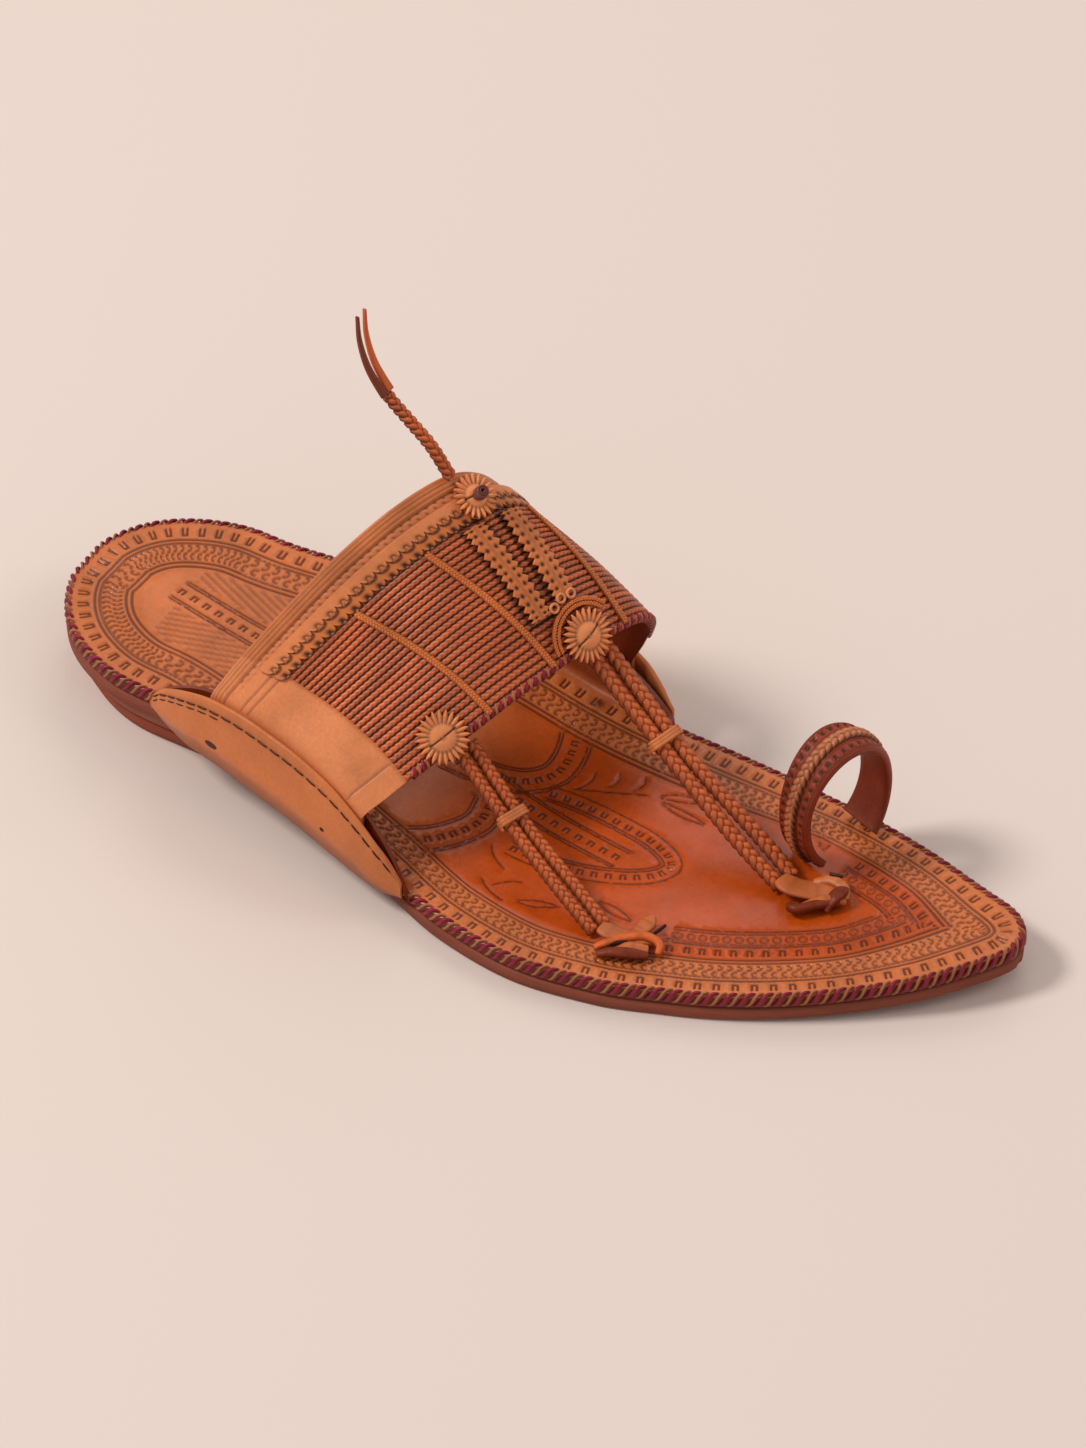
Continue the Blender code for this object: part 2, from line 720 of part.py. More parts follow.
def add_disc(name, frame, radius, thickness, teeth, material, crown=ROSETTE_CROWN):
    """A pinked disc, a little higher in its middle."""
    middle, across, forward, normal = frame
    core = ROSETTE_CORE
    profile = ((core, 0.0, 0), (1.0, 0.0, 1), (1.0, thickness, 1), (core, thickness + crown, 0))
    rings = []
    for share, height, toothed in profile:
        ring = []
        for k in range(2 * teeth):
            angle = math.pi * k / teeth
            reach = radius * share - (PINK_DEPTH if toothed and k % 2 else 0.0)
            ring.append(middle + across * (reach * math.cos(angle)) + forward * (reach * math.sin(angle))
                        + normal * height)
        rings.append(ring)
    return add_loft(name, rings, material)


Seat = namedtuple("Seat", "around along")
SEAT_BACK = Seat(0.545, 0.165)
SEAT_CENTRE = Seat(0.530, 0.950)
SEAT_SIDE = Seat(0.258, 0.945)
OVER_SCALLOPS = BAND_WALL / 2.0 + OVERLAY + 2.5 * GAP
OVER_CORDS = BAND_WALL / 2.0 + CORD_RAISE + 1.5 * GAP


def make_rosettes(face, dark):
    back = disc_frame(*SEAT_BACK, OVER_SCALLOPS)
    add_disc("rosette_back", back, ROSETTE_BACK_RADIUS, ROSETTE_THICKNESS, ROSETTE_BACK_TEETH, face)
    middle, across, forward, normal = back
    knob = (middle + normal * (ROSETTE_THICKNESS + ROSETTE_CROWN + GAP), across, forward, normal)
    add_disc("rosette_knob", knob, KNOB_RADIUS, KNOB_HEIGHT, KNOB_SIDES, dark, KNOB_CROWN)
    for name, seat in (("centre", SEAT_CENTRE), ("side", SEAT_SIDE)):
        add_disc("rosette_" + name, disc_frame(*seat, OVER_CORDS), ROSETTE_RADIUS, ROSETTE_THICKNESS,
                 ROSETTE_TEETH, face)


def make_filigree(material):
    """The arc of two thin cords behind the centre rosette."""
    middle, across, forward, normal = disc_frame(*SEAT_CENTRE, OVER_CORDS)
    radius = ROSETTE_RADIUS + GAP + FILIGREE_WIDTH / 2.0
    rings = []
    for step in range(FILIGREE_SECTIONS + 1):
        angle = math.radians(FILIGREE_FROM + FILIGREE_SPAN * step / FILIGREE_SECTIONS)
        out = across * math.sin(angle) + forward * math.cos(angle)
        ring = []
        for reach, height in ((-0.5, 0.0), (0.5, 0.0), (0.5, OVERLAY), (-0.5, OVERLAY)):
            ring.append(middle + out * (radius + reach * FILIGREE_WIDTH) + normal * height)
        rings.append(ring)
    return add_loft("filigree_arc", rings, material)


# Braids, tail and loop

def plait_rings(points, width, thickness, end_taper=1.0):
    """Rings of a flat plait: an oval that swells at each strand, by turns to the left and right."""
    sides = 6
    pieces = 60
    place = curve_through(points)
    length = sum((place((k + 1) / pieces) - place(k / pieces)).length for k in range(pieces))
    count = max(2 * int(length / PLAIT_PITCH), 4)
    rings = []
    for step in range(count + 1):
        share = step / count
        middle = place(share)
        ahead = (place(min(share + 0.01, 1.0)) - place(max(share - 0.01, 0.0))).normalized()
        side = ahead.cross(Vector((0.0, 0.0, 1.0))).normalized()
        up = side.cross(ahead).normalized()
        swell = (PLAIT_NARROW if step % 2 else 1.0) * (1.0 + (end_taper - 1.0) * share)
        shift = side * (PLAIT_SHIFT * width * (1 if step % 4 < 2 else -1))
        ring = []
        for k in range(sides):
            angle = 2.0 * math.pi * (k + 0.5) / sides
            ring.append(middle + shift + side * (width / 2.0 * swell * math.cos(angle))
                        + up * (thickness / 2.0 * swell * math.sin(angle)))
        rings.append(ring)
    return rings


def on_footbed(along, across, height):
    """A point at a height over the footbed. across is a share of the ball's width."""
    return Vector((along * SOLE_LENGTH, across * BALL_WIDTH, footbed_top(along) + height))


BraidRow = namedtuple("BraidRow", "share drop aside")
BRAIDS_CLOSEST = 0.62
BRAIDS_ASIDE = 0.018
# Where a thing stands on the footbed: shares of the sole's length and of the ball's width
Place = namedtuple("Place", "along across")
CENTRE_END = Place(0.763, 0.004)
SIDE_END = Place(0.6525, -0.424)
LOOP_SEAT = Place(0.779, 0.194)
Knot = namedtuple("Knot", "name place turn")
KNOTS = (Knot("centre", Place(0.776, -0.040), 24.0), Knot("side", Place(0.664, -0.445), 28.0))
# Share of the way from the rosette to the footbed, drop below a straight line, and how far the two
# braids of a pair stand from their middle line: shares of the pair's length and of its spacing.
CENTRE_BRAID = (BraidRow(0.00, 0.000, 0.72), BraidRow(0.15, 0.015, 0.70), BraidRow(0.38, 0.034, 0.62),
                BraidRow(0.55, 0.036, 0.68), BraidRow(0.80, 0.020, 0.80), BraidRow(1.00, 0.000, 0.72))
SIDE_BRAID = (BraidRow(0.00, 0.000, 0.72), BraidRow(0.15, 0.018, 0.70), BraidRow(0.38, 0.036, 0.62),
              BraidRow(0.60, 0.032, 0.66), BraidRow(0.82, 0.014, 0.70), BraidRow(1.00, 0.000, 0.66))


def braid_line(rows, start, end, side, width):
    """The middle line of one braid of a pair."""
    across = (end - start).cross(Vector((0.0, 0.0, 1.0))).normalized()
    length = (end - start).length
    spacing = (PLAIT_SPREAD * width + GAP) / 2.0 / BRAIDS_CLOSEST
    points = []
    for row in rows:
        point = start.lerp(end, row.share)
        points.append(point + across * (side * spacing * row.aside) - Vector((0.0, 0.0, length * row.drop)))
    return points


def braid_start(seat):
    """Where a pair of braids leaves the band, under its rosette and in front of the band's edge."""
    forward, normal = disc_frame(*seat, 0.0)[2:]
    edge = band_point(seat.around + BRAIDS_ASIDE, 1.0, 0.0)
    return edge + forward * (BRAID_THICKNESS / 2.0 + GAP + BRAID_CLEAR) - normal * BRAID_SINK


def make_braids(material, tie_material):
    rest = BRAID_THICKNESS / 2.0 + BRAID_REST
    pairs = (("centre", SEAT_CENTRE, CENTRE_BRAID, CENTRE_BRAID_WIDTH, CENTRE_END),
             ("side", SEAT_SIDE, SIDE_BRAID, SIDE_BRAID_WIDTH, SIDE_END))
    for name, seat, rows, width, foot in pairs:
        start = braid_start(seat)
        end = on_footbed(*foot, rest)
        lines = {}
        for label, side in (("outer", 1), ("inner", -1)):
            lines[label] = braid_line(rows, start, end, side, width)
            plait = plait_rings(lines[label], width, BRAID_THICKNESS)
            add_loft("braid_%s_%s" % (name, label), plait, material)
        make_tie("tie_" + name, lines, width, tie_material)


def make_tie(name, lines, width, material):
    """The thong wrapped round a pair of braids, as a short oval sleeve."""
    place_outer = curve_through(lines["outer"])
    place_inner = curve_through(lines["inner"])
    outer = place_outer(TIE_PLACE)
    inner = place_inner(TIE_PLACE)
    step = 0.02
    middle = (outer + inner) / 2.0
    ahead = (place_outer(TIE_PLACE + step) + place_inner(TIE_PLACE + step) - outer - inner).normalized()
    side = (outer - inner).normalized()
    up = side.cross(ahead).normalized()
    half_width = (outer - inner).length / 2.0 + width * TIE_BESIDE + GAP
    half_height = BRAID_THICKNESS / 2.0 + GAP + TIE_OVER
    rings = []
    for k in range(TIE_SECTIONS):
        angle = 2.0 * math.pi * k / TIE_SECTIONS
        cosine = math.copysign(abs(math.cos(angle)) ** TIE_ROUND, math.cos(angle))
        sine = math.copysign(abs(math.sin(angle)) ** TIE_ROUND, math.sin(angle))
        ring = []
        for wall, slide in ((0.0, -0.5), (TIE_WALL, -0.5), (TIE_WALL, 0.5), (0.0, 0.5)):
            ring.append(middle + side * ((half_width + wall) * cosine) + up * ((half_height + wall) * sine)
                        + ahead * (slide * TIE_LENGTH))
        rings.append(ring)
    return add_loft(name, rings, material, closed=True)


def box_rings(start, end, side, width, thickness, lift):
    """Rings of a small flat tab from start to end, arched by lift in its middle."""
    count = 4
    rings = []
    for step in range(count + 1):
        share = step / count
        middle = start.lerp(end, share) + Vector((0.0, 0.0, lift * math.sin(math.pi * share)))
        half = side * (width / 2.0)
        up = Vector((0.0, 0.0, thickness))
        rings.append([middle - half, middle + half, middle + half + up, middle - half + up])
    return rings


def roll_rings(middle, ahead, side):
    """Rings of a rolled thong end that lies along ahead, a little thinner at its two ends."""
    rings = []
    for slide, thin in ((-0.5, ROLL_END), (-0.2, 1.0), (0.2, 1.0), (0.5, ROLL_END)):
        radius = ROLL_RADIUS * thin
        ring = []
        for k in range(ROLL_SIDES):
            angle = 2.0 * math.pi * k / ROLL_SIDES
            ring.append(middle + ahead * (slide * ROLL_LENGTH) + side * (radius * math.cos(angle))
                        + Vector((0.0, 0.0, ROLL_RADIUS + radius * math.sin(angle))))
        rings.append(ring)
    return rings


def make_knots(face, dark):
    """The tab over each pair's ends and the rolled thong end beside it."""
    for knot in KNOTS:
        turn = math.radians(knot.turn)
        ahead = Vector((math.cos(turn), math.sin(turn), 0.0))
        side = Vector((-ahead.y, ahead.x, 0.0))
        seat = on_footbed(*knot.place, GAP)
        end = seat + ahead * TAB_LENGTH
        end.z = footbed_top(end.x / SOLE_LENGTH) + 2.0 * GAP
        tab = box_rings(seat, end, side, TAB_WIDTH, TAB_THICKNESS, TAB_ARCH)
        add_loft("knot_tab_" + knot.name, tab, face)
        middle = seat + ahead * (TAB_LENGTH * ROLL_PLACE) - side * (TAB_WIDTH / 2.0 + GAP + ROLL_RADIUS)
        middle.z = footbed_top(middle.x / SOLE_LENGTH) + 1.5 * GAP
        add_loft("knot_roll_" + knot.name, roll_rings(middle, ahead, side), dark)


TailRow = namedtuple("TailRow", "back up")
# The tail's free line from behind the back rosette: shares of its reach backwards and of its height.
TAIL_ROWS = (TailRow(0.27, 0.174), TailRow(0.46, 0.287), TailRow(0.66, 0.40), TailRow(0.71, 0.435))
TIP_ROWS = (TailRow(0.725, 0.447), TailRow(0.80, 0.515), TailRow(0.90, 0.628), TailRow(0.98, 0.812),
            TailRow(1.00, 1.00))


def tail_point(row, base):
    """A point of the tail's line from the point where it leaves the band."""
    return base + Vector((-row.back * TAIL_REACH, 0.0, row.up * TAIL_HEIGHT))


def make_tail(material):
    """The stiff plaited thong that stands up from the back edge, with two flat pointed tips."""
    base = band_point(SEAT_BACK.around, 0.0, BAND_WALL / 2.0 + BINDING_RAISE + TAIL_DIAMETER / 2.0)
    base.x += TAIL_FORWARD
    thickness = TAIL_DIAMETER * TAIL_FLAT
    seat = BAND_WALL / 2.0 + BINDING_RAISE + GAP + thickness / 2.0
    points = [band_point(SEAT_BACK.around, TAIL_SEAT, seat)] + [tail_point(row, base) for row in TAIL_ROWS]
    add_loft("tail_braid", plait_rings(points, TAIL_DIAMETER, thickness, TAIL_NARROWS), material)
    spread = TAIL_TIP / 2.0 + GAP / 2.0
    side_way = Vector((0.0, 1.0, 0.0))
    for name, side in (("front", 1), ("rear", -1)):
        rings = []
        place = curve_through([tail_point(row, base) for row in TIP_ROWS])
        steps = 5
        for step in range(steps + 1):
            share = step / steps
            point = place(share)
            ahead = (place(min(share + 0.05, 1.0)) - place(max(share - 0.05, 0.0))).normalized()
            up = side_way.cross(ahead).normalized()
            taper = 1.0 - TIP_TAPER * share
            point = point + side_way * (side * spread * (1.0 + TIP_SPREAD * share))
            ring = []
            for a, b in ((-0.5, -0.25), (0.5, -0.25), (0.5, 0.25), (-0.5, 0.25)):
                ring.append(point + side_way * (a * TAIL_TIP * taper) + up * (b * TAIL_TIP * taper))
            rings.append(ring)
        add_loft("tail_tip_" + name, rings, material)


# The loop's section: share of its width, of its wall and of its ridge
LoopRow = namedtuple("LoopRow", "wide wall ridge")
LOOP_ROWS = (LoopRow(-0.5, 0.0, 0.0), LoopRow(0.5, 0.0, 0.0), LoopRow(0.5, 0.85, 0.0),
             LoopRow(0.20, 1.0, 0.0), LoopRow(0.13, 1.0, 1.0), LoopRow(-0.13, 1.0, 1.0),
             LoopRow(-0.20, 1.0, 0.0), LoopRow(-0.5, 0.85, 0.0))


def make_toe_loop(material):
    """The upright ring for the big toe: a band bent round, open where its feet enter the footbed."""
    seat = on_footbed(*LOOP_SEAT, GAP)
    span_way = Vector((math.sin(LOOP_TURN), math.cos(LOOP_TURN), 0.0))
    wide_way = Vector((math.cos(LOOP_TURN), -math.sin(LOOP_TURN), 0.0))
    up_way = Vector((0.0, 0.0, 1.0))
    half_span = LOOP_SPAN / 2.0
    half_height = LOOP_HEIGHT * LOOP_ROUND
    centre = seat + up_way * (LOOP_HEIGHT - half_height)
    foot = math.asin(min((LOOP_HEIGHT - half_height) / half_height, 1.0))
    rings = []
    for step in range(LOOP_SECTIONS + 1):
        angle = -foot + (math.pi + 2.0 * foot) * step / LOOP_SECTIONS
        narrow = 1.0 - LOOP_NARROWS * math.cos(angle) ** 2
        ring = []
        for row in LOOP_ROWS:
            inset = LOOP_WALL * (1.0 - row.wall) + LOOP_RIDGE * (1.0 - row.ridge)
            reach = half_span - inset
            height = half_height - inset
            point = centre + span_way * (reach * math.cos(angle)) + up_way * (height * math.sin(angle))
            point += wide_way * (row.wide * LOOP_WIDTH * narrow)
            point.z = max(point.z, seat.z)
            ring.append(point)
        rings.append(ring)
    return add_loft("toe_loop", rings, material)


def set_on_box_bottom():
    """Put the middle of the box's bottom at the origin, by a parent empty."""
    pieces = [piece for piece in bpy.data.objects if piece.type == "MESH"]
    corners = [vertex.co for piece in pieces for vertex in piece.data.vertices]
    low = [min(corner[k] for corner in corners) for k in range(3)]
    high = [max(corner[k] for corner in corners) for k in range(3)]
    frame = bpy.data.objects.new("sandal_frame", None)
    bpy.context.collection.objects.link(frame)
    frame.location = (-(low[0] + high[0]) / 2.0, -(low[1] + high[1]) / 2.0, -low[2])
    for piece in pieces:
        piece.parent = frame


def main():
    for old in list(bpy.data.objects):
        bpy.data.objects.remove(old, do_unlink=True)
    tan = leather("leather_tan", (0.56, 0.24, 0.085), 0.42)
    orange = leather("leather_orange", (0.62, 0.26, 0.08), 0.35)
    brown = leather("leather_brown", (0.30, 0.115, 0.055), 0.55)
    edge = leather("leather_edge", (0.22, 0.075, 0.045), 0.60)
    dark = leather("leather_dark", (0.08, 0.022, 0.018), 0.45)
    make_outsole(edge)
    make_lift("heel_lift_lower", 0, edge)
    make_lift("heel_lift_upper", 1, brown)
    make_footbed(orange)
    make_ear("ear_lateral", LATERAL, tan)
    make_ear("ear_medial", MEDIAL, tan)
    make_upper(brown)
    make_scallops(tan)
    make_pinked_strip("pinked_strip_outer", STRIP_OUTER, tan)
    make_pinked_strip("pinked_strip_inner", STRIP_INNER, tan)
    make_rosettes(orange, dark)
    make_filigree(tan)
    make_braids(brown, tan)
    make_knots(orange, dark)
    make_tail(tan)
    make_toe_loop(brown)
    bpy.context.view_layer.update()
    set_on_box_bottom()
    bpy.context.view_layer.update()


main()
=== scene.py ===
"""The looks of the kolhapuri sandal: tooled footbed, plaited thongs, corded band, stitching and leather.

Lengths are in millimetres from the back of the heel, as in the part's source: x to the toe, y to the
inner side, z up. add_piece() turns them into the frame's metres.
"""
import math
from collections import namedtuple

import bmesh
import bpy
import numpy as np
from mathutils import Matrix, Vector, geometry
from mathutils.kdtree import KDTree


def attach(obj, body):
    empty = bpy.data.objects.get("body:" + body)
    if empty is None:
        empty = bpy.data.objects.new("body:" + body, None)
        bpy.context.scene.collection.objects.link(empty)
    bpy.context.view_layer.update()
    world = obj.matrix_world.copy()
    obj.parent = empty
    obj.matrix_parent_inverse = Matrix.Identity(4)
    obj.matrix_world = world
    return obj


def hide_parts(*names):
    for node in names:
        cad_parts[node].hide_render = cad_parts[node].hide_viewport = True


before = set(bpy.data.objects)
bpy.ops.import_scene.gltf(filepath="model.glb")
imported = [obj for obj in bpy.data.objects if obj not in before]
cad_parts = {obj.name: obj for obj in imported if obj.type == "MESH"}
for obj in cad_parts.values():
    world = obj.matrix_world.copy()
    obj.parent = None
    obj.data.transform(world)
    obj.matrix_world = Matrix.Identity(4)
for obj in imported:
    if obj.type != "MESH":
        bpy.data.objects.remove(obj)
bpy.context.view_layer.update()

MM = 0.001
# Where the back of the heel stands in the frame, in millimetres
HEEL_BACK = np.array([-139.9, 8.32, 0.0])

# Colours of the leather and the lace, as linear red, green and blue
TAN = (0.56, 0.160, 0.045)
# Pale leather of the band's end panels, brightened above TAN as painted sheen
PANEL_SHEEN = (0.68, 0.215, 0.075)
PALE = (0.62, 0.215, 0.085)
ROSETTE = (0.76, 0.250, 0.085)
STRIP = (0.60, 0.165, 0.042)
RUN = (0.76, 0.190, 0.042)
PAD = (0.52, 0.130, 0.034)
RIDGE = (0.50, 0.150, 0.055)
ORANGE = (0.47, 0.064, 0.004)
CORD = (0.62, 0.130, 0.036)
THONG = (0.62, 0.120, 0.026)
CRIMSON = (0.27, 0.008, 0.028)
DARK = (0.050, 0.013, 0.007)
GROOVE = (0.105, 0.019, 0.006)
# Dark brown leather; blended over the ears' inner leaves it is painted shade
LEAF = (0.19, 0.029, 0.007)
EDGE = (0.22, 0.055, 0.030)
EDGE_TOP = (0.27, 0.090, 0.055)
LIFT_RED = (0.27, 0.055, 0.024)
LOOP_RED = (0.25, 0.036, 0.011)
SUEDE = (0.21, 0.036, 0.016)
LACE_TAN = (0.42, 0.130, 0.055)
KNOB_BROWN = (0.16, 0.05, 0.035)

# Sole
SOLE_LENGTH = 280.0
BALL_WIDTH = 96.8
HEEL_WIDTH = 70.0
OUTSOLE_THICKNESS = 4.0
FOOTBED_THICKNESS = 3.9
RIM_INSET = 0.8
LIFT_THICKNESS = 5.3
LIFT_COUNT = 2
LIFT_INSET = 1.4
LIFT_TAPER = 2.7
HEEL_BREAST = 63.0
TOE_SPRING = 5.0
HEEL_ROUND = 0.126
HEEL_WIDEST = 0.14
TOE_ROUND = 0.25
TOE_POWER = 0.56
GAP = 0.3
SLOT_GAP = 0.55

# Ears
EAR_HEIGHT = 18.7
EAR_LEAF = 1.8
EAR_BEND = 2.4
EAR_PROUD = 1.5
EAR_LEAN = math.radians(94.0)
EAR_FOOT_TURN = math.radians(50.0)

# Band
BAND_WALL = 2.0
CROWN_BACK = 57.0
CROWN_FRONT = 28.0
LEAN_BACK = 15.5
LEAN_FRONT = 11.0
SLOT_DEPTH = 0.75
SLOT_SHARE = 0.07
ARCH_DEPTH = 0.3
BINDING_END = 0.085
BINDING_RAISE = 0.5
SCALLOPS_START = 0.13
CORDS_START = 0.27
CORDS_FROM = 0.185
CORDS_TO = 0.84
CORD_COUNT = 24
CORD_RAISE = 0.9

# Overlays
OVERLAY = 1.1
SCALLOP_PITCH = 3.9
# A share of the band's length
SCALLOP_DEPTH = 0.030
STRIP_WIDTH = 6.6
TOOTH_PITCH = 1.9
ROSETTE_RADIUS = 7.4
ROSETTE_BACK_RADIUS = 6.3
ROSETTE_THICKNESS = 1.7
OVER_SCALLOPS = BAND_WALL / 2.0 + OVERLAY + 2.5 * GAP
OVER_CORDS = BAND_WALL / 2.0 + CORD_RAISE + 1.5 * GAP

# Braids, tail and loop
CENTRE_BRAID_WIDTH = 4.8
SIDE_BRAID_WIDTH = 4.0
BRAID_THICKNESS = 2.8
BRAIDS_CLOSEST = 0.62
BRAIDS_ASIDE = 0.018
TIE_PLACE = 0.38
TIE_LENGTH = 3.4
TAIL_DIAMETER = 3.8
TAIL_FLAT = 0.8
TAIL_TIP = 2.4
TAIL_REACH = 29.0
TAIL_HEIGHT = 43.6
TAIL_FORWARD = 3.0
TAIL_SEAT = 0.022
LOOP_WIDTH = 12.6
LOOP_WALL = 2.4
LOOP_RIDGE = 0.9
LOOP_SPAN = 33.0
LOOP_HEIGHT = 38.0
LOOP_ROUND = 0.56
LOOP_TURN = math.radians(18.0)

SoleRow = namedtuple("SoleRow", "along centre heel ball")
SOLE_ROWS = (
    SoleRow(0.00, 0.000, 0.960, 0.000),
    SoleRow(0.06, -0.006, 0.950, 0.000),
    SoleRow(0.14, -0.012, 0.975, 0.000),
    SoleRow(0.22, -0.022, 0.740, 0.235),
    SoleRow(0.29, -0.030, 0.480, 0.490),
    SoleRow(0.36, -0.045, 0.240, 0.710),
    SoleRow(0.44, -0.072, 0.080, 0.870),
    SoleRow(0.52, -0.112, 0.000, 0.980),
    SoleRow(0.60, -0.132, 0.000, 0.998),
    SoleRow(0.68, -0.118, 0.000, 0.958),
    SoleRow(0.75, -0.089, 0.000, 0.872),
    SoleRow(0.86, -0.029, 0.000, 0.735),
    SoleRow(0.94, 0.024, 0.000, 0.640),
    SoleRow(1.00, 0.075, 0.000, 0.610),
)
LiftRow = namedtuple("LiftRow", "along heel spring")
LIFT_ROWS = (
    LiftRow(0.00, 1.00, 0.00),
    LiftRow(0.12, 1.00, 0.00),
    LiftRow(0.24, 1.00, 0.00),
    LiftRow(0.33, 0.76, 0.00),
    LiftRow(0.42, 0.34, 0.00),
    LiftRow(0.50, 0.06, 0.00),
    LiftRow(0.55, 0.00, 0.00),
    LiftRow(0.68, 0.00, 0.00),
    LiftRow(0.74, 0.00, 0.00),
    LiftRow(0.82, 0.00, 0.10),
    LiftRow(0.91, 0.00, 0.44),
    LiftRow(1.00, 0.00, 1.00),
)
EarRow = namedtuple("EarRow", "through rise cover")
EAR_ROWS = (
    EarRow(0.00, 0.00, 0.00),
    EarRow(0.08, 0.36, 0.35),
    EarRow(0.20, 0.73, 0.95),
    EarRow(0.30, 0.88, 1.00),
    EarRow(0.44, 0.98, 1.00),
    EarRow(0.57, 1.00, 1.00),
    EarRow(0.70, 0.96, 1.00),
    EarRow(0.80, 0.82, 1.00),
    EarRow(0.88, 0.60, 0.85),
    EarRow(0.94, 0.35, 0.30),
    EarRow(0.98, 0.12, 0.00),
    EarRow(1.00, 0.00, 0.00),
)
Ear = namedtuple("Ear", "side rear front band_back band_front")
LATERAL = Ear(-1, 0.150, 0.480, 0.2375, 0.423)
MEDIAL = Ear(1, 0.214, 0.572, 0.372, 0.519)
ArchRow = namedtuple("ArchRow", "back_across back_up front_across front_up")
ARCH_ROWS = (
    ArchRow(0.030, 0.12, 0.070, 0.16),
    ArchRow(0.120, 0.36, 0.280, 0.52),
    ArchRow(0.290, 0.71, 0.470, 0.82),
    ArchRow(0.460, 0.93, 0.660, 0.98),
    ArchRow(0.620, 1.00, 0.800, 1.00),
    ArchRow(0.765, 0.88, 0.910, 0.88),
    ArchRow(0.890, 0.60, 0.985, 0.60),
    ArchRow(0.970, 0.27, 1.005, 0.25),
)
Seat = namedtuple("Seat", "around along")
SEAT_BACK = Seat(0.545, 0.165)
SEAT_CENTRE = Seat(0.530, 0.950)
SEAT_SIDE = Seat(0.258, 0.945)


# Curves and surfaces, worked out for whole arrays of places

def curve_of(rows, key, column):
    """A smooth curve through a table's column, as a function of an array of places."""
    keys = np.array([getattr(row, key) for row in rows])
    values = np.array([getattr(row, column) for row in rows])
    steps = np.diff(keys)
    grades = np.diff(values) / steps
    slopes = np.zeros(len(keys))
    for k in range(1, len(keys) - 1):
        if grades[k - 1] * grades[k] > 0.0:
            slopes[k] = 2.0 * grades[k - 1] * grades[k] / (grades[k - 1] + grades[k])

    def value(at):
        at = np.clip(np.asarray(at, float), keys[0], keys[-1])
        i = np.clip(np.searchsorted(keys, at, side="right") - 1, 0, len(keys) - 2)
        t = (at - keys[i]) / steps[i]
        rise = values[i + 1] - values[i]
        bend_in = slopes[i] * steps[i] - rise
        bend_out = rise - slopes[i + 1] * steps[i]
        return values[i] + t * rise + t * (1.0 - t) * ((1.0 - t) * bend_in + t * bend_out)

    return value


heel_share = curve_of(SOLE_ROWS, "along", "heel")
ball_share = curve_of(SOLE_ROWS, "along", "ball")
centre_share = curve_of(SOLE_ROWS, "along", "centre")
heel_lift = curve_of(LIFT_ROWS, "along", "heel")
toe_lift = curve_of(LIFT_ROWS, "along", "spring")
ear_rise_share = curve_of(EAR_ROWS, "through", "rise")
ear_cover_share = curve_of(EAR_ROWS, "through", "cover")


def unit(vectors):
    """Vectors of length one."""
    vectors = np.asarray(vectors, float)
    return vectors / np.maximum(np.linalg.norm(vectors, axis=-1, keepdims=True), 1e-9)


def arc_lengths(points):
    """How far along a line each of its points lies."""
    return np.concatenate([[0.0], np.cumsum(np.linalg.norm(np.diff(points, axis=0), axis=1))])


def read_at(at, arcs, values):
    """Values kept beside a line's points, at other places along it."""
    return np.stack([np.interp(at, arcs, values[:, k]) for k in range(values.shape[1])], axis=-1)


def curve_marks(points):
    """The marks of a centripetal curve's points."""
    return np.concatenate([[0.0], np.cumsum(np.sqrt(np.linalg.norm(np.diff(points, axis=0), axis=1)))])


def curve_at(points, marks, at):
    """Points of the centripetal curve through points, at other marks."""
    before = 2.0 * points[0] - points[1]
    after = 2.0 * points[-1] - points[-2]
    p = np.vstack([before, points, after])
    first = marks[0] - (marks[1] - marks[0])
    last = marks[-1] + (marks[-1] - marks[-2])
    m = np.concatenate([[first], marks, [last]])
    i = np.clip(np.searchsorted(marks, at, side="right") - 1, 0, len(points) - 2)
    t0, t1, t2, t3 = (m[i + k][:, None] for k in range(4))
    p0, p1, p2, p3 = (p[i + k] for k in range(4))
    t = at[:, None]
    a1 = p0 + (p1 - p0) * (t - t0) / (t1 - t0)
    a2 = p1 + (p2 - p1) * (t - t1) / (t2 - t1)
    a3 = p2 + (p3 - p2) * (t - t2) / (t3 - t2)
    b1 = a1 + (a2 - a1) * (t - t0) / (t2 - t0)
    b2 = a2 + (a3 - a2) * (t - t1) / (t3 - t1)
    return b1 + (b2 - b1) * (t - t1) / (t2 - t1)


def smooth_path(points, count):
    """Points evenly along a smooth curve through the given points."""
    points = np.asarray(points, float)
    marks = curve_marks(points)
    fine = curve_at(points, marks, np.linspace(0.0, marks[-1], 20 * len(points)))
    arcs = arc_lengths(fine)
    return read_at(np.linspace(0.0, arcs[-1], count), arcs, fine)


def path_sides(path, up):
    """Directions to the side and up at each point of a path, square to it and to each other."""
    ahead = unit(np.gradient(path, axis=0))
    side = unit(np.cross(ahead, up))
    return side, unit(np.cross(side, ahead))


def cosine_steps(count):
    """Shares from 0 to 1, closer together at both ends."""
    return (1.0 - np.cos(np.linspace(0.0, math.pi, count))) / 2.0


def sole_side(along, side):
    """How far across the sole's left or right edge lies, at a share of its length."""
    along = np.asarray(along, float)
    half = (heel_share(along) * HEEL_WIDTH + ball_share(along) * BALL_WIDTH) / 2.0
    heel = np.sqrt(np.clip(1.0 - (1.0 - along / HEEL_ROUND) ** 2, 0.0, 1.0))
    toe = np.clip(1.0 - (1.0 - (1.0 - along) / TOE_ROUND) ** 2, 0.0, 1.0) ** TOE_POWER
    half = half * np.where(along < HEEL_ROUND, heel, 1.0) * np.where(along > 1.0 - TOE_ROUND, toe, 1.0)
    return centre_share(along) * BALL_WIDTH + side * half


def underside(along):
    """The height of the outsole's underside."""
    return heel_lift(along) * LIFT_COUNT * (LIFT_THICKNESS + GAP) + toe_lift(along) * TOE_SPRING


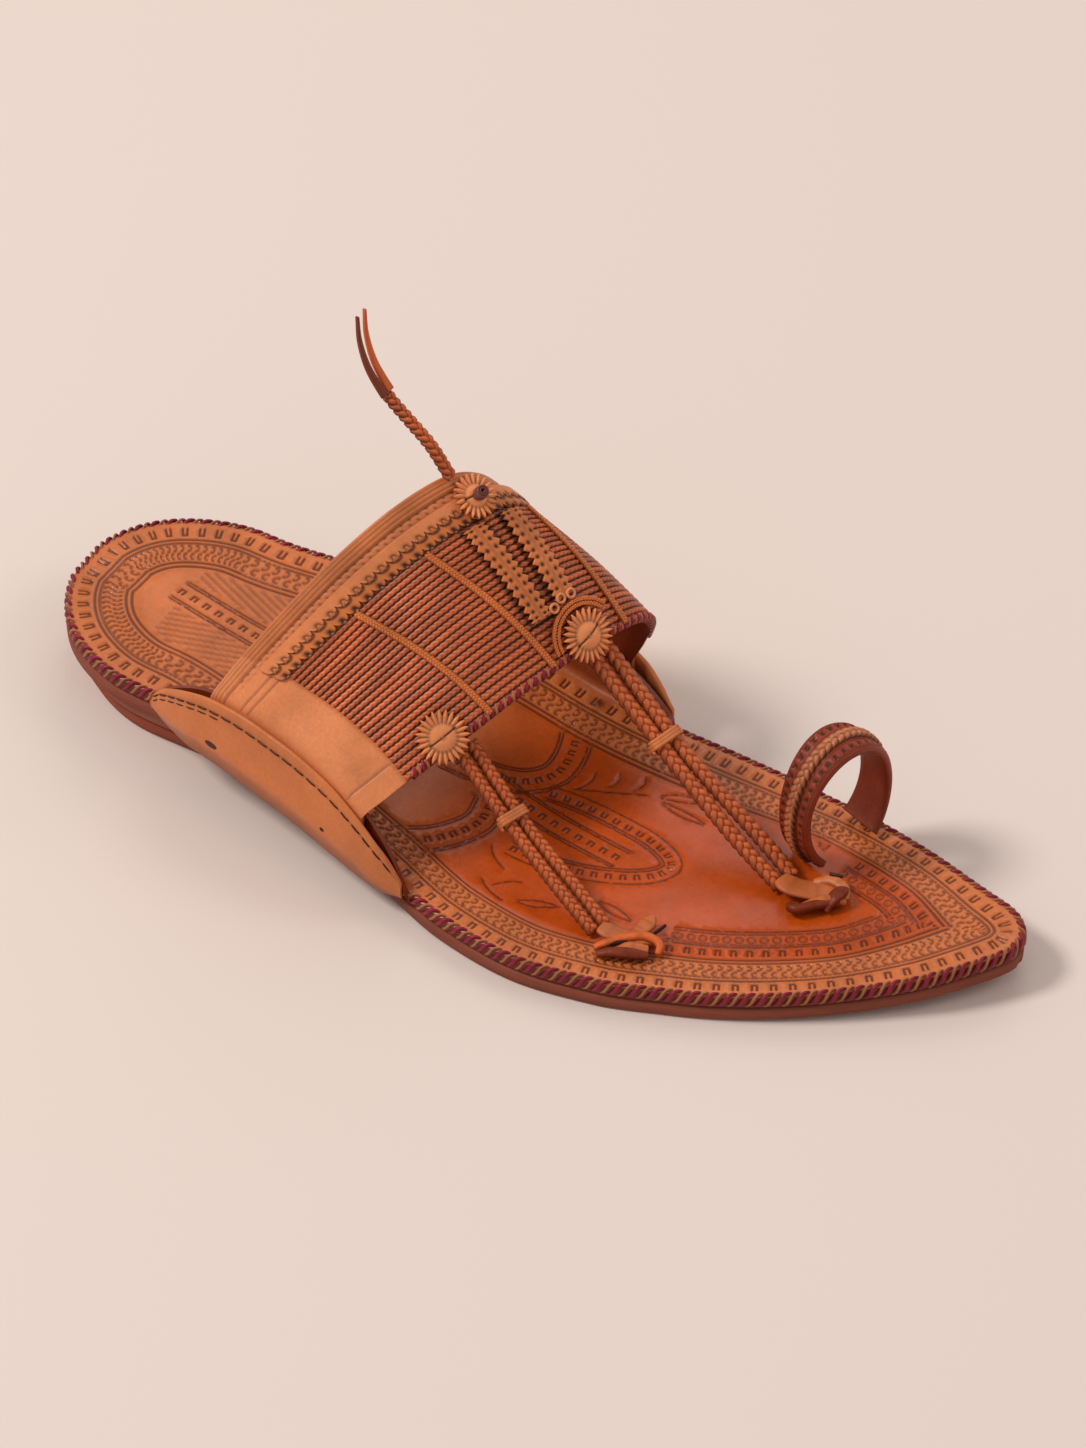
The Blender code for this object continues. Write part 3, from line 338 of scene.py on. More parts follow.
def footbed_top(along):
    """The height of the footbed's tooled face."""
    return underside(along) + OUTSOLE_THICKNESS + GAP + FOOTBED_THICKNESS


def plan_side(along, side, inset):
    """The sole's edge moved inwards, kept on its own side of the plan's middle."""
    edge = sole_side(along, side)
    middle = (sole_side(along, 1) + sole_side(along, -1)) / 2.0
    reach = np.abs(edge - middle)
    return middle + side * np.maximum(reach - inset, 0.12 * reach)


def ear_rise(ear, along):
    """How high an ear's inner leaf stands at a share of the sole's length."""
    through = (np.asarray(along, float) - ear.rear) / (ear.front - ear.rear)
    inside = (through > 0.0) & (through < 1.0)
    return np.where(inside, ear_rise_share(through), 0.0) * EAR_HEIGHT


def leaf_bend(rise):
    """How far the leather turns up at the edge, and the straight length above the bend."""
    full_bend = EAR_BEND * (1.0 - math.cos(EAR_LEAN))
    low = np.arccos(np.clip(1.0 - rise / EAR_BEND, -1.0, 1.0))
    high = (rise - full_bend) / math.sin(EAR_LEAN)
    return np.where(rise < full_bend, low, EAR_LEAN), np.where(rise < full_bend, 0.0, high)


def ear_fold(ear, along):
    """How the footbed turns up at an ear: its turn, straight length and edge, and where the bend starts."""
    turn, straight = leaf_bend(ear_rise(ear, along))
    edge = ear.side * plan_side(along, ear.side, RIM_INSET)
    start = edge - EAR_BEND * np.sin(np.minimum(turn, math.pi / 2.0))
    return turn, straight, edge, start


def section(ear, along, inward, outset, proud=0.0):
    """Points at an outset from the outer face of an ear's inner leaf.

    inward is the length along the leather from a line that stands proud of the leaf's edge.
    """
    turn, straight, edge, start = ear_fold(ear, along)
    beyond = straight + EAR_BEND * turn - (inward - proud)
    return turn_up(ear, along, beyond, start, turn, 1.0, outset)


def turn_up(ear, along, beyond, start, turn, outset_share, outset):
    """The point reached by going a length beyond the bend's start along the leather."""
    angle = np.clip(beyond / EAR_BEND, 0.0, turn)
    reach = np.maximum(beyond - EAR_BEND * turn, 0.0)
    y = start + EAR_BEND * np.sin(angle) + reach * np.cos(turn) + np.minimum(beyond, 0.0)
    z = EAR_BEND * (1.0 - np.cos(angle)) + reach * np.sin(turn)
    thickness = FOOTBED_THICKNESS + (EAR_LEAF - FOOTBED_THICKNESS) * np.minimum(angle / (math.pi / 2.0), 1.0)
    out = outset_share * thickness + outset
    y = y + out * np.sin(angle)
    z = z - out * np.cos(angle)
    x, y, z = np.broadcast_arrays(along * SOLE_LENGTH, ear.side * y, footbed_top(along) + z)
    return np.stack([x, y, z], axis=-1)


def fold(flat, outset_share, outset):
    """Places in the shoe of points of the footbed's leather laid flat, x and y."""
    along = flat[:, 0] / SOLE_LENGTH
    placed = []
    for ear in (LATERAL, MEDIAL):
        turn, straight, edge, start = ear_fold(ear, along)
        placed.append(turn_up(ear, along, ear.side * flat[:, 1] - start, start, turn, outset_share, outset))
    middle = (sole_side(along, 1) + sole_side(along, -1)) / 2.0
    return np.where((flat[:, 1] < middle)[:, None], placed[0], placed[1])


def rim_outline(with_ears):
    """The footbed's cut edge with the leather laid flat, walked so that its inside lies to the left.

    Without the ears it is the plan of the sole, which the rows of tooling follow.
    """
    along = 0.5 + (cosine_steps(RIM_STEPS) - 0.5) * (1.0 - 2.0 * RIM_INSET / SOLE_LENGTH)
    sides = []
    for ear in (LATERAL, MEDIAL):
        turn, straight, edge, start = ear_fold(ear, along)
        reach = start + EAR_BEND * turn + straight
        sides.append(np.stack([along * SOLE_LENGTH, ear.side * (reach if with_ears else edge)], axis=1))
    return np.vstack([sides[0], sides[1][::-1]])


def band_foot(ear, along_band, depth, outset):
    """Points of the band's end between the two leaves of an ear, at a share of the slot's depth."""
    along = ear.band_back + (ear.band_front - ear.band_back) * along_band
    return section(ear, along, depth * (ear_rise(ear, along) - EAR_BEND), SLOT_GAP + outset)


def band_arch(along_band, around):
    """Points of the band's middle surface at one place along it and an array of places around."""
    middle = BAND_WALL / 2.0
    low = [band_foot(ear, along_band, ARCH_DEPTH, middle) for ear in (LATERAL, MEDIAL)]
    top = [band_foot(ear, along_band, 0.0, middle) for ear in (LATERAL, MEDIAL)]
    crown = CROWN_BACK + (CROWN_FRONT - CROWN_BACK) * along_band
    lean = LEAN_BACK + (LEAN_FRONT - LEAN_BACK) * along_band
    points = [low[0], top[0]]
    for row in ARCH_ROWS:
        across = row.back_across + (row.front_across - row.back_across) * along_band
        up = row.back_up + (row.front_up - row.back_up) * along_band
        points.append(top[0] + (top[1] - top[0]) * across + np.array([lean * up, 0.0, crown * up]))
    points += [top[1], low[1]]
    points = np.array(points)
    marks = curve_marks(points)
    share = np.clip((around - SLOT_SHARE) / (1.0 - 2.0 * SLOT_SHARE), 0.0, 1.0)
    found = curve_at(points, marks, marks[1] + (marks[-2] - marks[1]) * share)
    for ear, inside in ((LATERAL, around), (MEDIAL, 1.0 - around)):
        for k in np.nonzero(inside < SLOT_SHARE)[0]:
            found[k] = band_foot(ear, along_band, SLOT_DEPTH * (1.0 - inside[k] / SLOT_SHARE), middle)
    return found


BAND_AROUND = np.linspace(0.0, 1.0, 501)
BAND_ALONG = np.linspace(0.0, 1.0, 121)
band_surface = np.stack([band_arch(v, BAND_AROUND) for v in BAND_ALONG], axis=1)
band_outward = unit(np.cross(np.gradient(band_surface, axis=1), np.gradient(band_surface, axis=0)))


def on_band(around, along_band, height):
    """Points at a height over the band's middle surface."""
    around, along_band, height = np.broadcast_arrays(around, along_band, height)
    a = np.clip(around, 0.0, 1.0) * (len(BAND_AROUND) - 1)
    b = np.clip(along_band, 0.0, 1.0) * (len(BAND_ALONG) - 1)
    i = np.minimum(a.astype(int), len(BAND_AROUND) - 2)
    j = np.minimum(b.astype(int), len(BAND_ALONG) - 2)
    s = (a - i)[..., None]
    t = (b - j)[..., None]

    def between(grid):
        low = grid[i, j] * (1.0 - s) + grid[i + 1, j] * s
        high = grid[i, j + 1] * (1.0 - s) + grid[i + 1, j + 1] * s
        return low * (1.0 - t) + high * t

    return between(band_surface) + unit(between(band_outward)) * np.asarray(height)[..., None]


def band_frame(seat, height):
    """Middle, across, forward and outward directions of something that lies on the band."""
    step = 0.01
    middle = on_band(seat.around, seat.along, height)
    normal = unit(on_band(seat.around, seat.along, 1.0) - on_band(seat.around, seat.along, 0.0))
    across = on_band(seat.around + step, seat.along, 0.0) - on_band(seat.around - step, seat.along, 0.0)
    across = unit(across - normal * np.dot(across, normal))
    return middle, across, np.cross(across, normal), normal


# Meshes

def grid_faces(rows, columns, close_rows=False, close_columns=False):
    """Quads of a grid of points numbered row by row."""
    row = np.arange(rows if close_rows else rows - 1)
    column = np.arange(columns if close_columns else columns - 1)
    row, column = np.meshgrid(row, column, indexing="ij")
    next_row = (row + 1) % rows
    next_column = (column + 1) % columns
    quads = np.stack([row * columns + column, next_row * columns + column,
                      next_row * columns + next_column, row * columns + next_column], axis=-1)
    return quads.reshape(-1, 4)


class Body:
    """Points, faces and colours gathered for one piece."""

    def __init__(self):
        self.points = []
        self.faces = []
        self.colours = []
        self.count = 0

    def add(self, points, faces, colour):
        points = np.asarray(points, float).reshape(-1, 3)
        colour = np.broadcast_to(np.asarray(colour, float), (len(points), 3))
        self.points.append(points)
        self.colours.append(colour)
        self.faces += [tuple(int(corner) + self.count for corner in face) for face in faces]
        self.count += len(points)

    def add_grid(self, points, colour, close_rows=False, close_columns=False):
        rows, columns = points.shape[:2]
        if np.ndim(colour) > 1:
            colour = np.reshape(colour, (-1, 3))
        self.add(points, grid_faces(rows, columns, close_rows, close_columns), colour)

    def add_sweep(self, rings, colour):
        """Rings of points joined into a tube with capped ends."""
        rows, columns = rings.shape[:2]
        if np.ndim(colour) > 1:
            colour = np.reshape(colour, (-1, 3))
        faces = list(grid_faces(rows, columns, close_columns=True))
        faces.append(tuple(range(columns)))
        faces.append(tuple((rows - 1) * columns + k for k in range(columns)))
        self.add(rings, faces, colour)

    def add_lined(self, outer, colour, inner, lining):
        """A sweep over an outer face in its own colours and back under an inner one in one colour."""
        lining = np.broadcast_to(np.asarray(lining, float), inner.shape)
        self.add_sweep(np.concatenate([outer, inner], axis=1), np.concatenate([colour, lining], axis=1))


def add_piece(name, body, material, replaced=(), outward=True):
    """Make a piece of what a body holds, in place of the CAD nodes that it replaces."""
    points = np.vstack(body.points)
    colours = np.ones((len(points), 4))
    colours[:, :3] = np.clip(np.vstack(body.colours), 0.0, 1.0)
    mesh = bpy.data.meshes.new(name)
    mesh.from_pydata(((points + HEEL_BACK) * MM).tolist(), [], body.faces)
    paint = mesh.color_attributes.new("paint", "FLOAT_COLOR", "POINT")
    paint.data.foreach_set("color", colours.ravel())
    if outward:
        data = bmesh.new()
        data.from_mesh(mesh)
        bmesh.ops.recalc_face_normals(data, faces=data.faces)
        data.to_mesh(mesh)
        data.free()
    mesh.shade_smooth()
    mesh.materials.append(material)
    piece = bpy.data.objects.new(name, mesh)
    bpy.context.scene.collection.objects.link(piece)
    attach(piece, "root")
    if replaced:
        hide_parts(*replaced)


def leather(name, roughness, grain, relief, spread, gloss=0.3, streak=None):
    """A leather that takes its colour from the mesh, with mottling, fine grain and uneven gloss.

    grain is the size of the grain in millimetres and relief its depth. gloss is the shader's specular level,
    and streak stretches the mottling.
    """
    material = bpy.data.materials.new(name)
    material.use_nodes = True
    tree = material.node_tree
    shader = tree.nodes["Principled BSDF"]
    place = tree.nodes.new("ShaderNodeTexCoord")
    source = place.outputs["Object"]
    if streak:
        mapping = tree.nodes.new("ShaderNodeMapping")
        mapping.inputs["Scale"].default_value = streak
        tree.links.new(source, mapping.inputs["Vector"])
        source = mapping.outputs["Vector"]

    def noise(size, detail):
        node = tree.nodes.new("ShaderNodeTexNoise")
        node.inputs["Scale"].default_value = 1.0 / (size * MM)
        node.inputs["Detail"].default_value = detail
        tree.links.new(source, node.inputs["Vector"])
        return node.outputs["Fac"]

    def ranged(value, low, high):
        node = tree.nodes.new("ShaderNodeMapRange")
        node.inputs["From Min"].default_value = 0.3
        node.inputs["From Max"].default_value = 0.7
        node.inputs["To Min"].default_value = low
        node.inputs["To Max"].default_value = high
        tree.links.new(value, node.inputs["Value"])
        return node.outputs["Result"]

    paint = tree.nodes.new("ShaderNodeVertexColor")
    paint.layer_name = "paint"
    broad = ranged(noise(14.0, 3.0), 1.0 - spread, 1.0 + spread)
    fine = ranged(noise(grain * 2.5, 4.0), 1.0 - 0.5 * spread, 1.0 + 0.5 * spread)
    both = tree.nodes.new("ShaderNodeMath")
    both.operation = "MULTIPLY"
    tree.links.new(broad, both.inputs[0])
    tree.links.new(fine, both.inputs[1])
    tint = tree.nodes.new("ShaderNodeVectorMath")
    tint.operation = "SCALE"
    tree.links.new(paint.outputs["Color"], tint.inputs[0])
    tree.links.new(both.outputs["Value"], tint.inputs["Scale"])
    tree.links.new(tint.outputs["Vector"], shader.inputs["Base Color"])
    tree.links.new(ranged(noise(6.0, 3.0), roughness - 0.08, roughness + 0.08), shader.inputs["Roughness"])
    cells = tree.nodes.new("ShaderNodeTexVoronoi")
    cells.inputs["Scale"].default_value = 1.0 / (grain * MM)
    tree.links.new(source, cells.inputs["Vector"])
    bump = tree.nodes.new("ShaderNodeBump")
    bump.inputs["Distance"].default_value = relief * MM
    bump.inputs["Strength"].default_value = 0.6
    tree.links.new(cells.outputs["Distance"], bump.inputs["Height"])
    tree.links.new(bump.outputs["Normal"], shader.inputs["Normal"])
    shader.inputs["Specular IOR Level"].default_value = gloss
    return material


def blend(low, high, share):
    """Colours between two, by an array of shares."""
    share = np.clip(np.asarray(share, float), 0.0, 1.0)[..., None]
    return np.asarray(low) * (1.0 - share) + np.asarray(high) * share


def bell(distance, width):
    """1 in the middle of a line and 0 beside it."""
    return np.exp(-(distance / (0.5 * width)) ** 2)


# Tooled footbed

# How far from its line a track's rows can lie
TRACK_REACH = 6.5


class Track:
    """A line on the leather laid flat, beside which rows of tooling run.

    stretch says, at each point of the line, how much wider than elsewhere the rows are spaced.
    """

    def __init__(self, points, closed=False, step=0.35, stretch=None):
        points = np.asarray(points, float)
        if closed:
            points = np.vstack([points, points[:1]])
        arcs = arc_lengths(points)
        self.closed = closed
        self.length = arcs[-1]
        self.at = np.arange(0.0, self.length, step)
        self.points = read_at(self.at, arcs, points)
        self.ahead = unit(self.sampled(self.at + 0.8, self.points)
                          - self.sampled(self.at - 0.8, self.points))
        self.left = np.stack([-self.ahead[:, 1], self.ahead[:, 0]], axis=1)
        self.stretch = np.ones(len(self.points)) if stretch is None else stretch(self.points)
        self.low = self.points.min(axis=0) - TRACK_REACH
        self.high = self.points.max(axis=0) + TRACK_REACH
        self.tree = KDTree(len(self.points))
        for k, point in enumerate(self.points):
            self.tree.insert((point[0], point[1], 0.0), k)
        self.tree.balance()

    def sampled(self, at, values):
        """Values kept along the line, at other places along it."""
        at = at % self.length if self.closed else np.clip(at, 0.0, self.at[-1])
        return read_at(at, self.at, values)

    def locate(self, flat):
        """How far along the line, and how far to its left in unstretched rows, points lie."""
        near = np.array([self.tree.find((x, y, 0.0))[1] for x, y in flat], int)
        away = flat - self.points[near]
        along = np.sum(away * self.ahead[near], axis=1)
        across = np.linalg.norm(away, axis=1) * np.sign(np.sum(away * self.left[near], axis=1))
        return self.at[near] + along, across / self.stretch[near]

    def spots(self, at, across):
        """Points beside the line, left out where another stretch of it is closer."""
        at = np.asarray(at, float)
        ways = unit(self.sampled(at, self.left))
        wide = self.sampled(at, self.stretch[:, None])
        found = self.sampled(at, self.points) + ways * wide * across
        return found[np.abs(self.locate(found)[1] - across) < 0.12]

    def fitted(self, pitch):
        """A pitch near the one given that divides the line evenly, if the line is long enough."""
        return self.length / round(self.length / pitch) if self.length > 3.0 * pitch else pitch


# One row of tooling: kind of stamp, distance from the track, width, pitch along it and depth.
Row = namedtuple("Row", "kind across width pitch depth")
# A plain line's width, and the width of its slopes
LINE_WIDTH = 0.96
LINE_SLOPE = 0.32


def cut_line(across, depth):
    """A plain line, which has one width and no pitch."""
    return Row("line", across, LINE_WIDTH, 0.0, depth)


RIM_ROWS = (
    Row("stamp", 3.4, 2.3, 5.0, 0.42),
    cut_line(5.7, 0.24),
    cut_line(6.7, 0.24),
    Row("scroll", 9.3, 4.2, 2.7, 0.42),
    cut_line(12.2, 0.36),
    cut_line(13.4, 0.36),
)
TOE_ROWS = (
    Row("stamp", 16.0, 2.2, 4.6, 0.38),
    cut_line(18.2, 0.22),
    cut_line(19.0, 0.22),
    Row("flower", 20.9, 2.6, 3.7, 0.34),
    cut_line(22.9, 0.30),
    cut_line(23.9, 0.30),
)
TONGUE_ROWS = (
    cut_line(0.0, 0.20),
    Row("stamp", 2.6, 1.9, 3.9, 0.36),
    cut_line(4.6, 0.24),
    cut_line(5.5, 0.24),
)
STRIP_ROWS = (
    cut_line(-3.9, 0.26),
    cut_line(-3.0, 0.26),
    cut_line(3.0, 0.26),
    cut_line(3.9, 0.26),
    Row("stamp", 0.0, 2.0, 4.2, 0.38),
)
LOBE_ROWS = (
    cut_line(-4.4, 0.26),
    cut_line(-3.5, 0.26),
    Row("stamp", 0.0, 2.1, 3.6, 0.40),
    cut_line(3.5, 0.26),
    cut_line(4.4, 0.26),
)
STROKE_ROWS = (cut_line(0.0, 0.30),)
LEAF_ROWS = (cut_line(2.4, 0.26), cut_line(3.5, 0.26))
# How dark each kind of stamp is
TONES = {"stamp": 0.92, "line": 0.85, "scroll": 0.80, "flower": 0.85}
STUD = (139.4, 31.4)
STUD_WIDTH = 3.4
STUD_RAISE = 0.5
ROLLED_EDGE = 0.55
# How far inside the sole's plan the fields start, and how far outside it the ears' own lines do
FIELD_INSET = 14.6
LEAF_INSET = -3.0
HATCH_PITCH = 2.1
HATCH_DEPTH = 0.22
HATCH_TONE = 0.5
RIM_STEPS = 900
FINE_STEP = 0.36
LINE_LEVELS = (-0.48, -0.14, 0.14, 0.48)
STAMP_COLUMNS = (-1.15, -0.85, -0.5, -0.22, 0.22, 0.5, 0.85, 1.15)
SCROLL_COLUMNS = (-1.18, -0.84, -0.5, -0.17, 0.17, 0.5, 0.84, 1.18)
FLOWER_COLUMNS = (-1.55, -1.2, -0.85, -0.5, -0.17, 0.17, 0.5, 0.85, 1.2, 1.55)
COLUMNS = {"stamp": STAMP_COLUMNS, "scroll": SCROLL_COLUMNS, "flower": FLOWER_COLUMNS}


def row_spots(track, row):
    """The points that one row of tooling needs: rows of them beside the track, denser at its stamps."""
    if row.kind == "line":
        at = np.arange(0.0, track.length, 1.3)
        return [track.spots(at, row.across + level) for level in LINE_LEVELS]
    pitch = track.fitted(row.pitch)
    centres = (np.arange(int(round(track.length / pitch))) + 0.5) * pitch
    at = (centres[:, None] + np.array(COLUMNS[row.kind])[None, :]).ravel()
    half = row.width / 2.0 + 0.25
    levels = np.linspace(-half, half, int(round(2.0 * half / FINE_STEP)) + 1)
    return [track.spots(at, row.across + level) for level in levels]


def row_cut(track, row, along, across):
    """How deep a row's tool has cut, from 0 to 1."""
    beside = across - row.across
    if row.kind == "line":
        return np.clip((row.width / 2.0 - np.abs(beside)) / LINE_SLOPE, 0.0, 1.0)
    inside = np.abs(beside) < row.width / 2.0 + 0.1
    pitch = track.fitted(row.pitch)
    at = ((along / pitch) % 1.0 - 0.5) * pitch
    if row.kind == "stamp":
        leg = np.clip((0.46 - np.abs(np.abs(at) - 0.68)) / 0.26, 0.0, 1.0)
        bar = np.clip((0.40 - np.abs(beside - row.width * 0.40)) / 0.22, 0.0, 1.0) * (np.abs(at) < 1.0)
        return np.where(inside, np.maximum(leg, bar), 0.0)
    if row.kind == "scroll":
        back = (at / pitch % 1.0 - 0.5) * pitch
        outer = bell(np.hypot(at - 0.25, beside + 1.15) - 0.80, 0.62) * (at < 0.75)
        inner = bell(np.hypot(back + 0.25, beside - 1.15) - 0.80, 0.62) * (back > -0.75)
        return np.where(inside, np.clip(np.maximum(outer, inner) * 1.15, 0.0, 1.0), 0.0)
    ring = bell(np.hypot(at, beside) - 1.1, 0.55)
    petals = 0.5 + 0.5 * np.cos(6.0 * np.arctan2(beside, at))
    return np.where(inside, np.maximum(ring, 0.8 * bell(np.hypot(at, beside), 1.1) * petals), 0.0)


# Fields of the waist and the root of the toes, walked so that their insides lie to the left
TONGUE = ((146, -28.5), (156, -28.5), (166, -27), (174, -24.5), (182, -20.5), (187, -16), (189, -10.5),
          (186, -6), (178, -2.5), (167, -0.8), (153, 0), (144, -1))
INNER_LOBE = ((116, -9), (131, -6.5), (139, -2.5), (143, 4), (142, 14), (137.5, 23), (128, 28.5))
OUTER_LOBE = ((100, -46.5), (110, -45), (119, -42), (127, -37), (132.5, -30), (135.5, -22.5), (134.5, -15))
STRIP_AXIS = ((130, -8.4), (143, -10.8), (156, -12.8), (174, -14.8))
HEEL_AXIS = ((27, 2.5), (54, -2.0), (84, -5.0), (108, -7.0))
FIELDS = ((TONGUE, TONGUE_ROWS), (STRIP_AXIS, STRIP_ROWS), (INNER_LOBE, LOBE_ROWS), (OUTER_LOBE, LOBE_ROWS),
          (HEEL_AXIS, STRIP_ROWS))
FIELD_POINTS = 160
# Leaves and petals, each from its start over its middle to its end
LEAVES = (
    ((151, 10), (153.5, 6.5), (150.5, 2)), ((156.5, 13), (159.5, 10), (157, 6.5)),
    ((163, 15), (166, 12), (163, 8.5)), ((149, 1), (157, 4.5), (168, 9.5)),
    ((170, 10), (174, 15.5), (182, 14.5)), ((170, 10), (177, 11), (182, 14.5)),
    ((171, 9), (178, 5.5), (186, 7.5)), ((171, 9), (180, 9.5), (186, 7.5)),
    ((142, -27), (144, -31.5), (150, -33.5)), ((150, -40.5), (152, -36.5), (157, -35)),
    ((146, -39), (150, -43), (156, -43.5)), ((158, -42), (163, -38), (169, -38)),
    ((158, -42), (164, -42.5), (169, -38)), ((214, 21), (218.5, 19.5), (217, 15)),
    ((214, 21), (213.5, 16.5), (217, 15)), ((205, 15), (209, 18.5), (214.5, 21)),
    ((176, -31), (181, -34.5), (188, -33)), ((176, -31), (182, -29.5), (188, -33)),
)


def stroke_line(start, middle, end):
    """A curved stroke that is pulled towards its middle point."""
    a, b, c = (np.array(point, float) for point in (start, middle, end))
    t = np.linspace(0.0, 1.0, 12)[:, None]
    return (1.0 - t) ** 2 * a + 2.0 * t * (1.0 - t) * b + t ** 2 * c


def eased(value, start, end):
    """0 before the start and 1 after the end, with soft turns."""
    t = np.clip((value - start) / (end - start), 0.0, 1.0)
    return t * t * (3.0 - 2.0 * t)


def rim_stretch(points):
    """The rows are spaced wider round the heel, along the inner waist and at the toe's point."""
    x, y = points[:, 0], points[:, 1]
    outer = 0.27 * (1.0 - eased(x, 60.0, 120.0))
    inner = 0.33 * (1.0 - eased(x, 175.0, 220.0))
    side = eased(y, -12.0, 8.0)
    return 1.0 + outer * (1.0 - side) + inner * side + 0.30 * eased(x, 246.0, 273.0)


def flat_mesh(outline, inside):
    """Triangles between the points inside an outline, on the leather laid flat."""
    corners = [Vector((float(x), float(y))) for x, y in outline]
    spots = [Vector((float(x), float(y))) for x, y in inside]
    count = len(corners)
    edges = [(k, (k + 1) % count) for k in range(count)]
    points, _, faces = geometry.delaunay_2d_cdt(corners + spots, edges, [], 1, 1e-5)[:3]
    return np.array([[point.x, point.y] for point in points]), [tuple(face) for face in faces]


def toe_rows_here(flat):
    """Where the inner rows of the toe run: ahead of the two knots."""
    return flat[:, 0] > np.where(flat[:, 1] < -10.0, 198.0, 225.0)


def near_track(track, flat):
    """Which points lie near enough to a track for its rows."""
    return np.nonzero(np.all((flat > track.low) & (flat < track.high), axis=1))[0]


def press(cut, dark, rows, track, place, here):
    """The cuts and their darkness with rows of tooling pressed in where here says so."""
    for row in rows:
        share = row_cut(track, row, *place) * here
        cut = np.maximum(cut, share * row.depth)
        dark = np.maximum(dark, share * TONES[row.kind])
    return cut, dark


def footbed_relief(flat, rim, plan, inset, plan_place, tracks):
    """How far each point of the tooled face lies below the plain leather, and how dark it is."""
    plan_inset = plan_place[1]
    plain = np.zeros(len(flat))
    cut, dark = press(plain, plain, RIM_ROWS, plan, plan_place, plan_inset > 0.0)
    cut, dark = press(cut, dark, TOE_ROWS, plan, plan_place, toe_rows_here(flat))
    cut, dark = press(cut, dark, LEAF_ROWS, rim, (inset, inset), plan_inset < LEAF_INSET)
    for track, rows in tracks:
        near = near_track(track, flat)
        place = track.locate(flat[near])
        here = (place[0] > 0.2) & (place[0] < track.length - 0.2) & (plan_inset[near] > FIELD_INSET - 0.3)
        cut[near], dark[near] = press(cut[near], dark[near], rows, track, place, here)
    hatch = hatching(flat, plan_inset)
    cut = np.maximum(cut, HATCH_DEPTH * hatch)
    dark = np.maximum(dark, HATCH_TONE * hatch)
    stud = bell(np.hypot(flat[:, 0] - STUD[0], flat[:, 1] - STUD[1]), STUD_WIDTH)
    rolled = ROLLED_EDGE * np.clip(1.0 - inset / 1.3, 0.0, 1.0) ** 2
    return cut * (1.0 - stud) - STUD_RAISE * stud + rolled, np.maximum(dark, stud)


def beside_heel_axis(flat):
    """How far points lie to the left of the heel field's axis."""
    return flat[:, 1] - 2.5 + 0.16 * (flat[:, 0] - 27.0)


def hatching(flat, inset):
    """Slanting cuts on both sides of the heel field's axis, closing in on it towards the toe."""
    x, y = flat[:, 0], flat[:, 1]
    beside = beside_heel_axis(flat)
    field = (x > 30.0) & (x < 100.0) & (np.abs(beside) > 5.4) & (inset > FIELD_INSET)
    across = np.where(beside > 0.0, y + 0.42 * x, y - 0.30 * x)
    wave = (across / HATCH_PITCH % 1.0 - 0.5) * HATCH_PITCH
    return np.clip((0.60 - np.abs(wave)) / 0.4, 0.0, 1.0) * field


def square_grid(x_from, x_to, y_from, y_to, step):
    """Points in rows, for the leather between the lines of tooling."""
    return np.mgrid[x_from:x_to:step, y_from:y_to:step].reshape(2, -1).T


def footbed_points(rim, plan, tracks):
    """Points for the tooled face, close together where the tools have cut and where an ear turns up."""
    spots = [rim.spots(np.arange(0.0, rim.length, 0.9), inset) for inset in (0.35, 0.8, 1.4)]
    spots += [plan.spots(np.arange(0.0, plan.length, 1.5), inset) for inset in np.arange(-2.4, 2.5, 0.6)]
    for row in RIM_ROWS:
        spots += row_spots(plan, row)
    for row in TOE_ROWS:
        for ring in row_spots(plan, row):
            spots.append(ring[toe_rows_here(ring)])
    for row in LEAF_ROWS:
        for ring in row_spots(rim, row):
            spots.append(ring[plan.locate(ring)[1] < LEAF_INSET])
    for track, rows in tracks:
        for row in rows:
            spots += row_spots(track, row)
    angles = np.linspace(0.0, 2.0 * math.pi, 14, endpoint=False)
    for radius in (0.5, 1.0, 1.5, 2.0):
        spots.append(np.array(STUD) + radius * np.stack([np.cos(angles), np.sin(angles)], axis=1))
    spots = np.vstack(spots)
    fine = square_grid(28.0, 102.0, -26.0, 22.0, 0.62)
    fine = fine[(plan.locate(fine)[1] > FIELD_INSET) & (np.abs(beside_heel_axis(fine)) > 5.2)]
    coarse = square_grid(2.0, 279.0, -76.0, 66.0, 2.0)
    coarse_inset = plan.locate(coarse)[1]
    coarse = coarse[(coarse_inset > FIELD_INSET)
                    | ((coarse_inset < LEAF_INSET) & (rim.locate(coarse)[1] > 4.5))]
    return np.vstack([spots[rim.locate(spots)[1] > 0.2], fine, coarse])


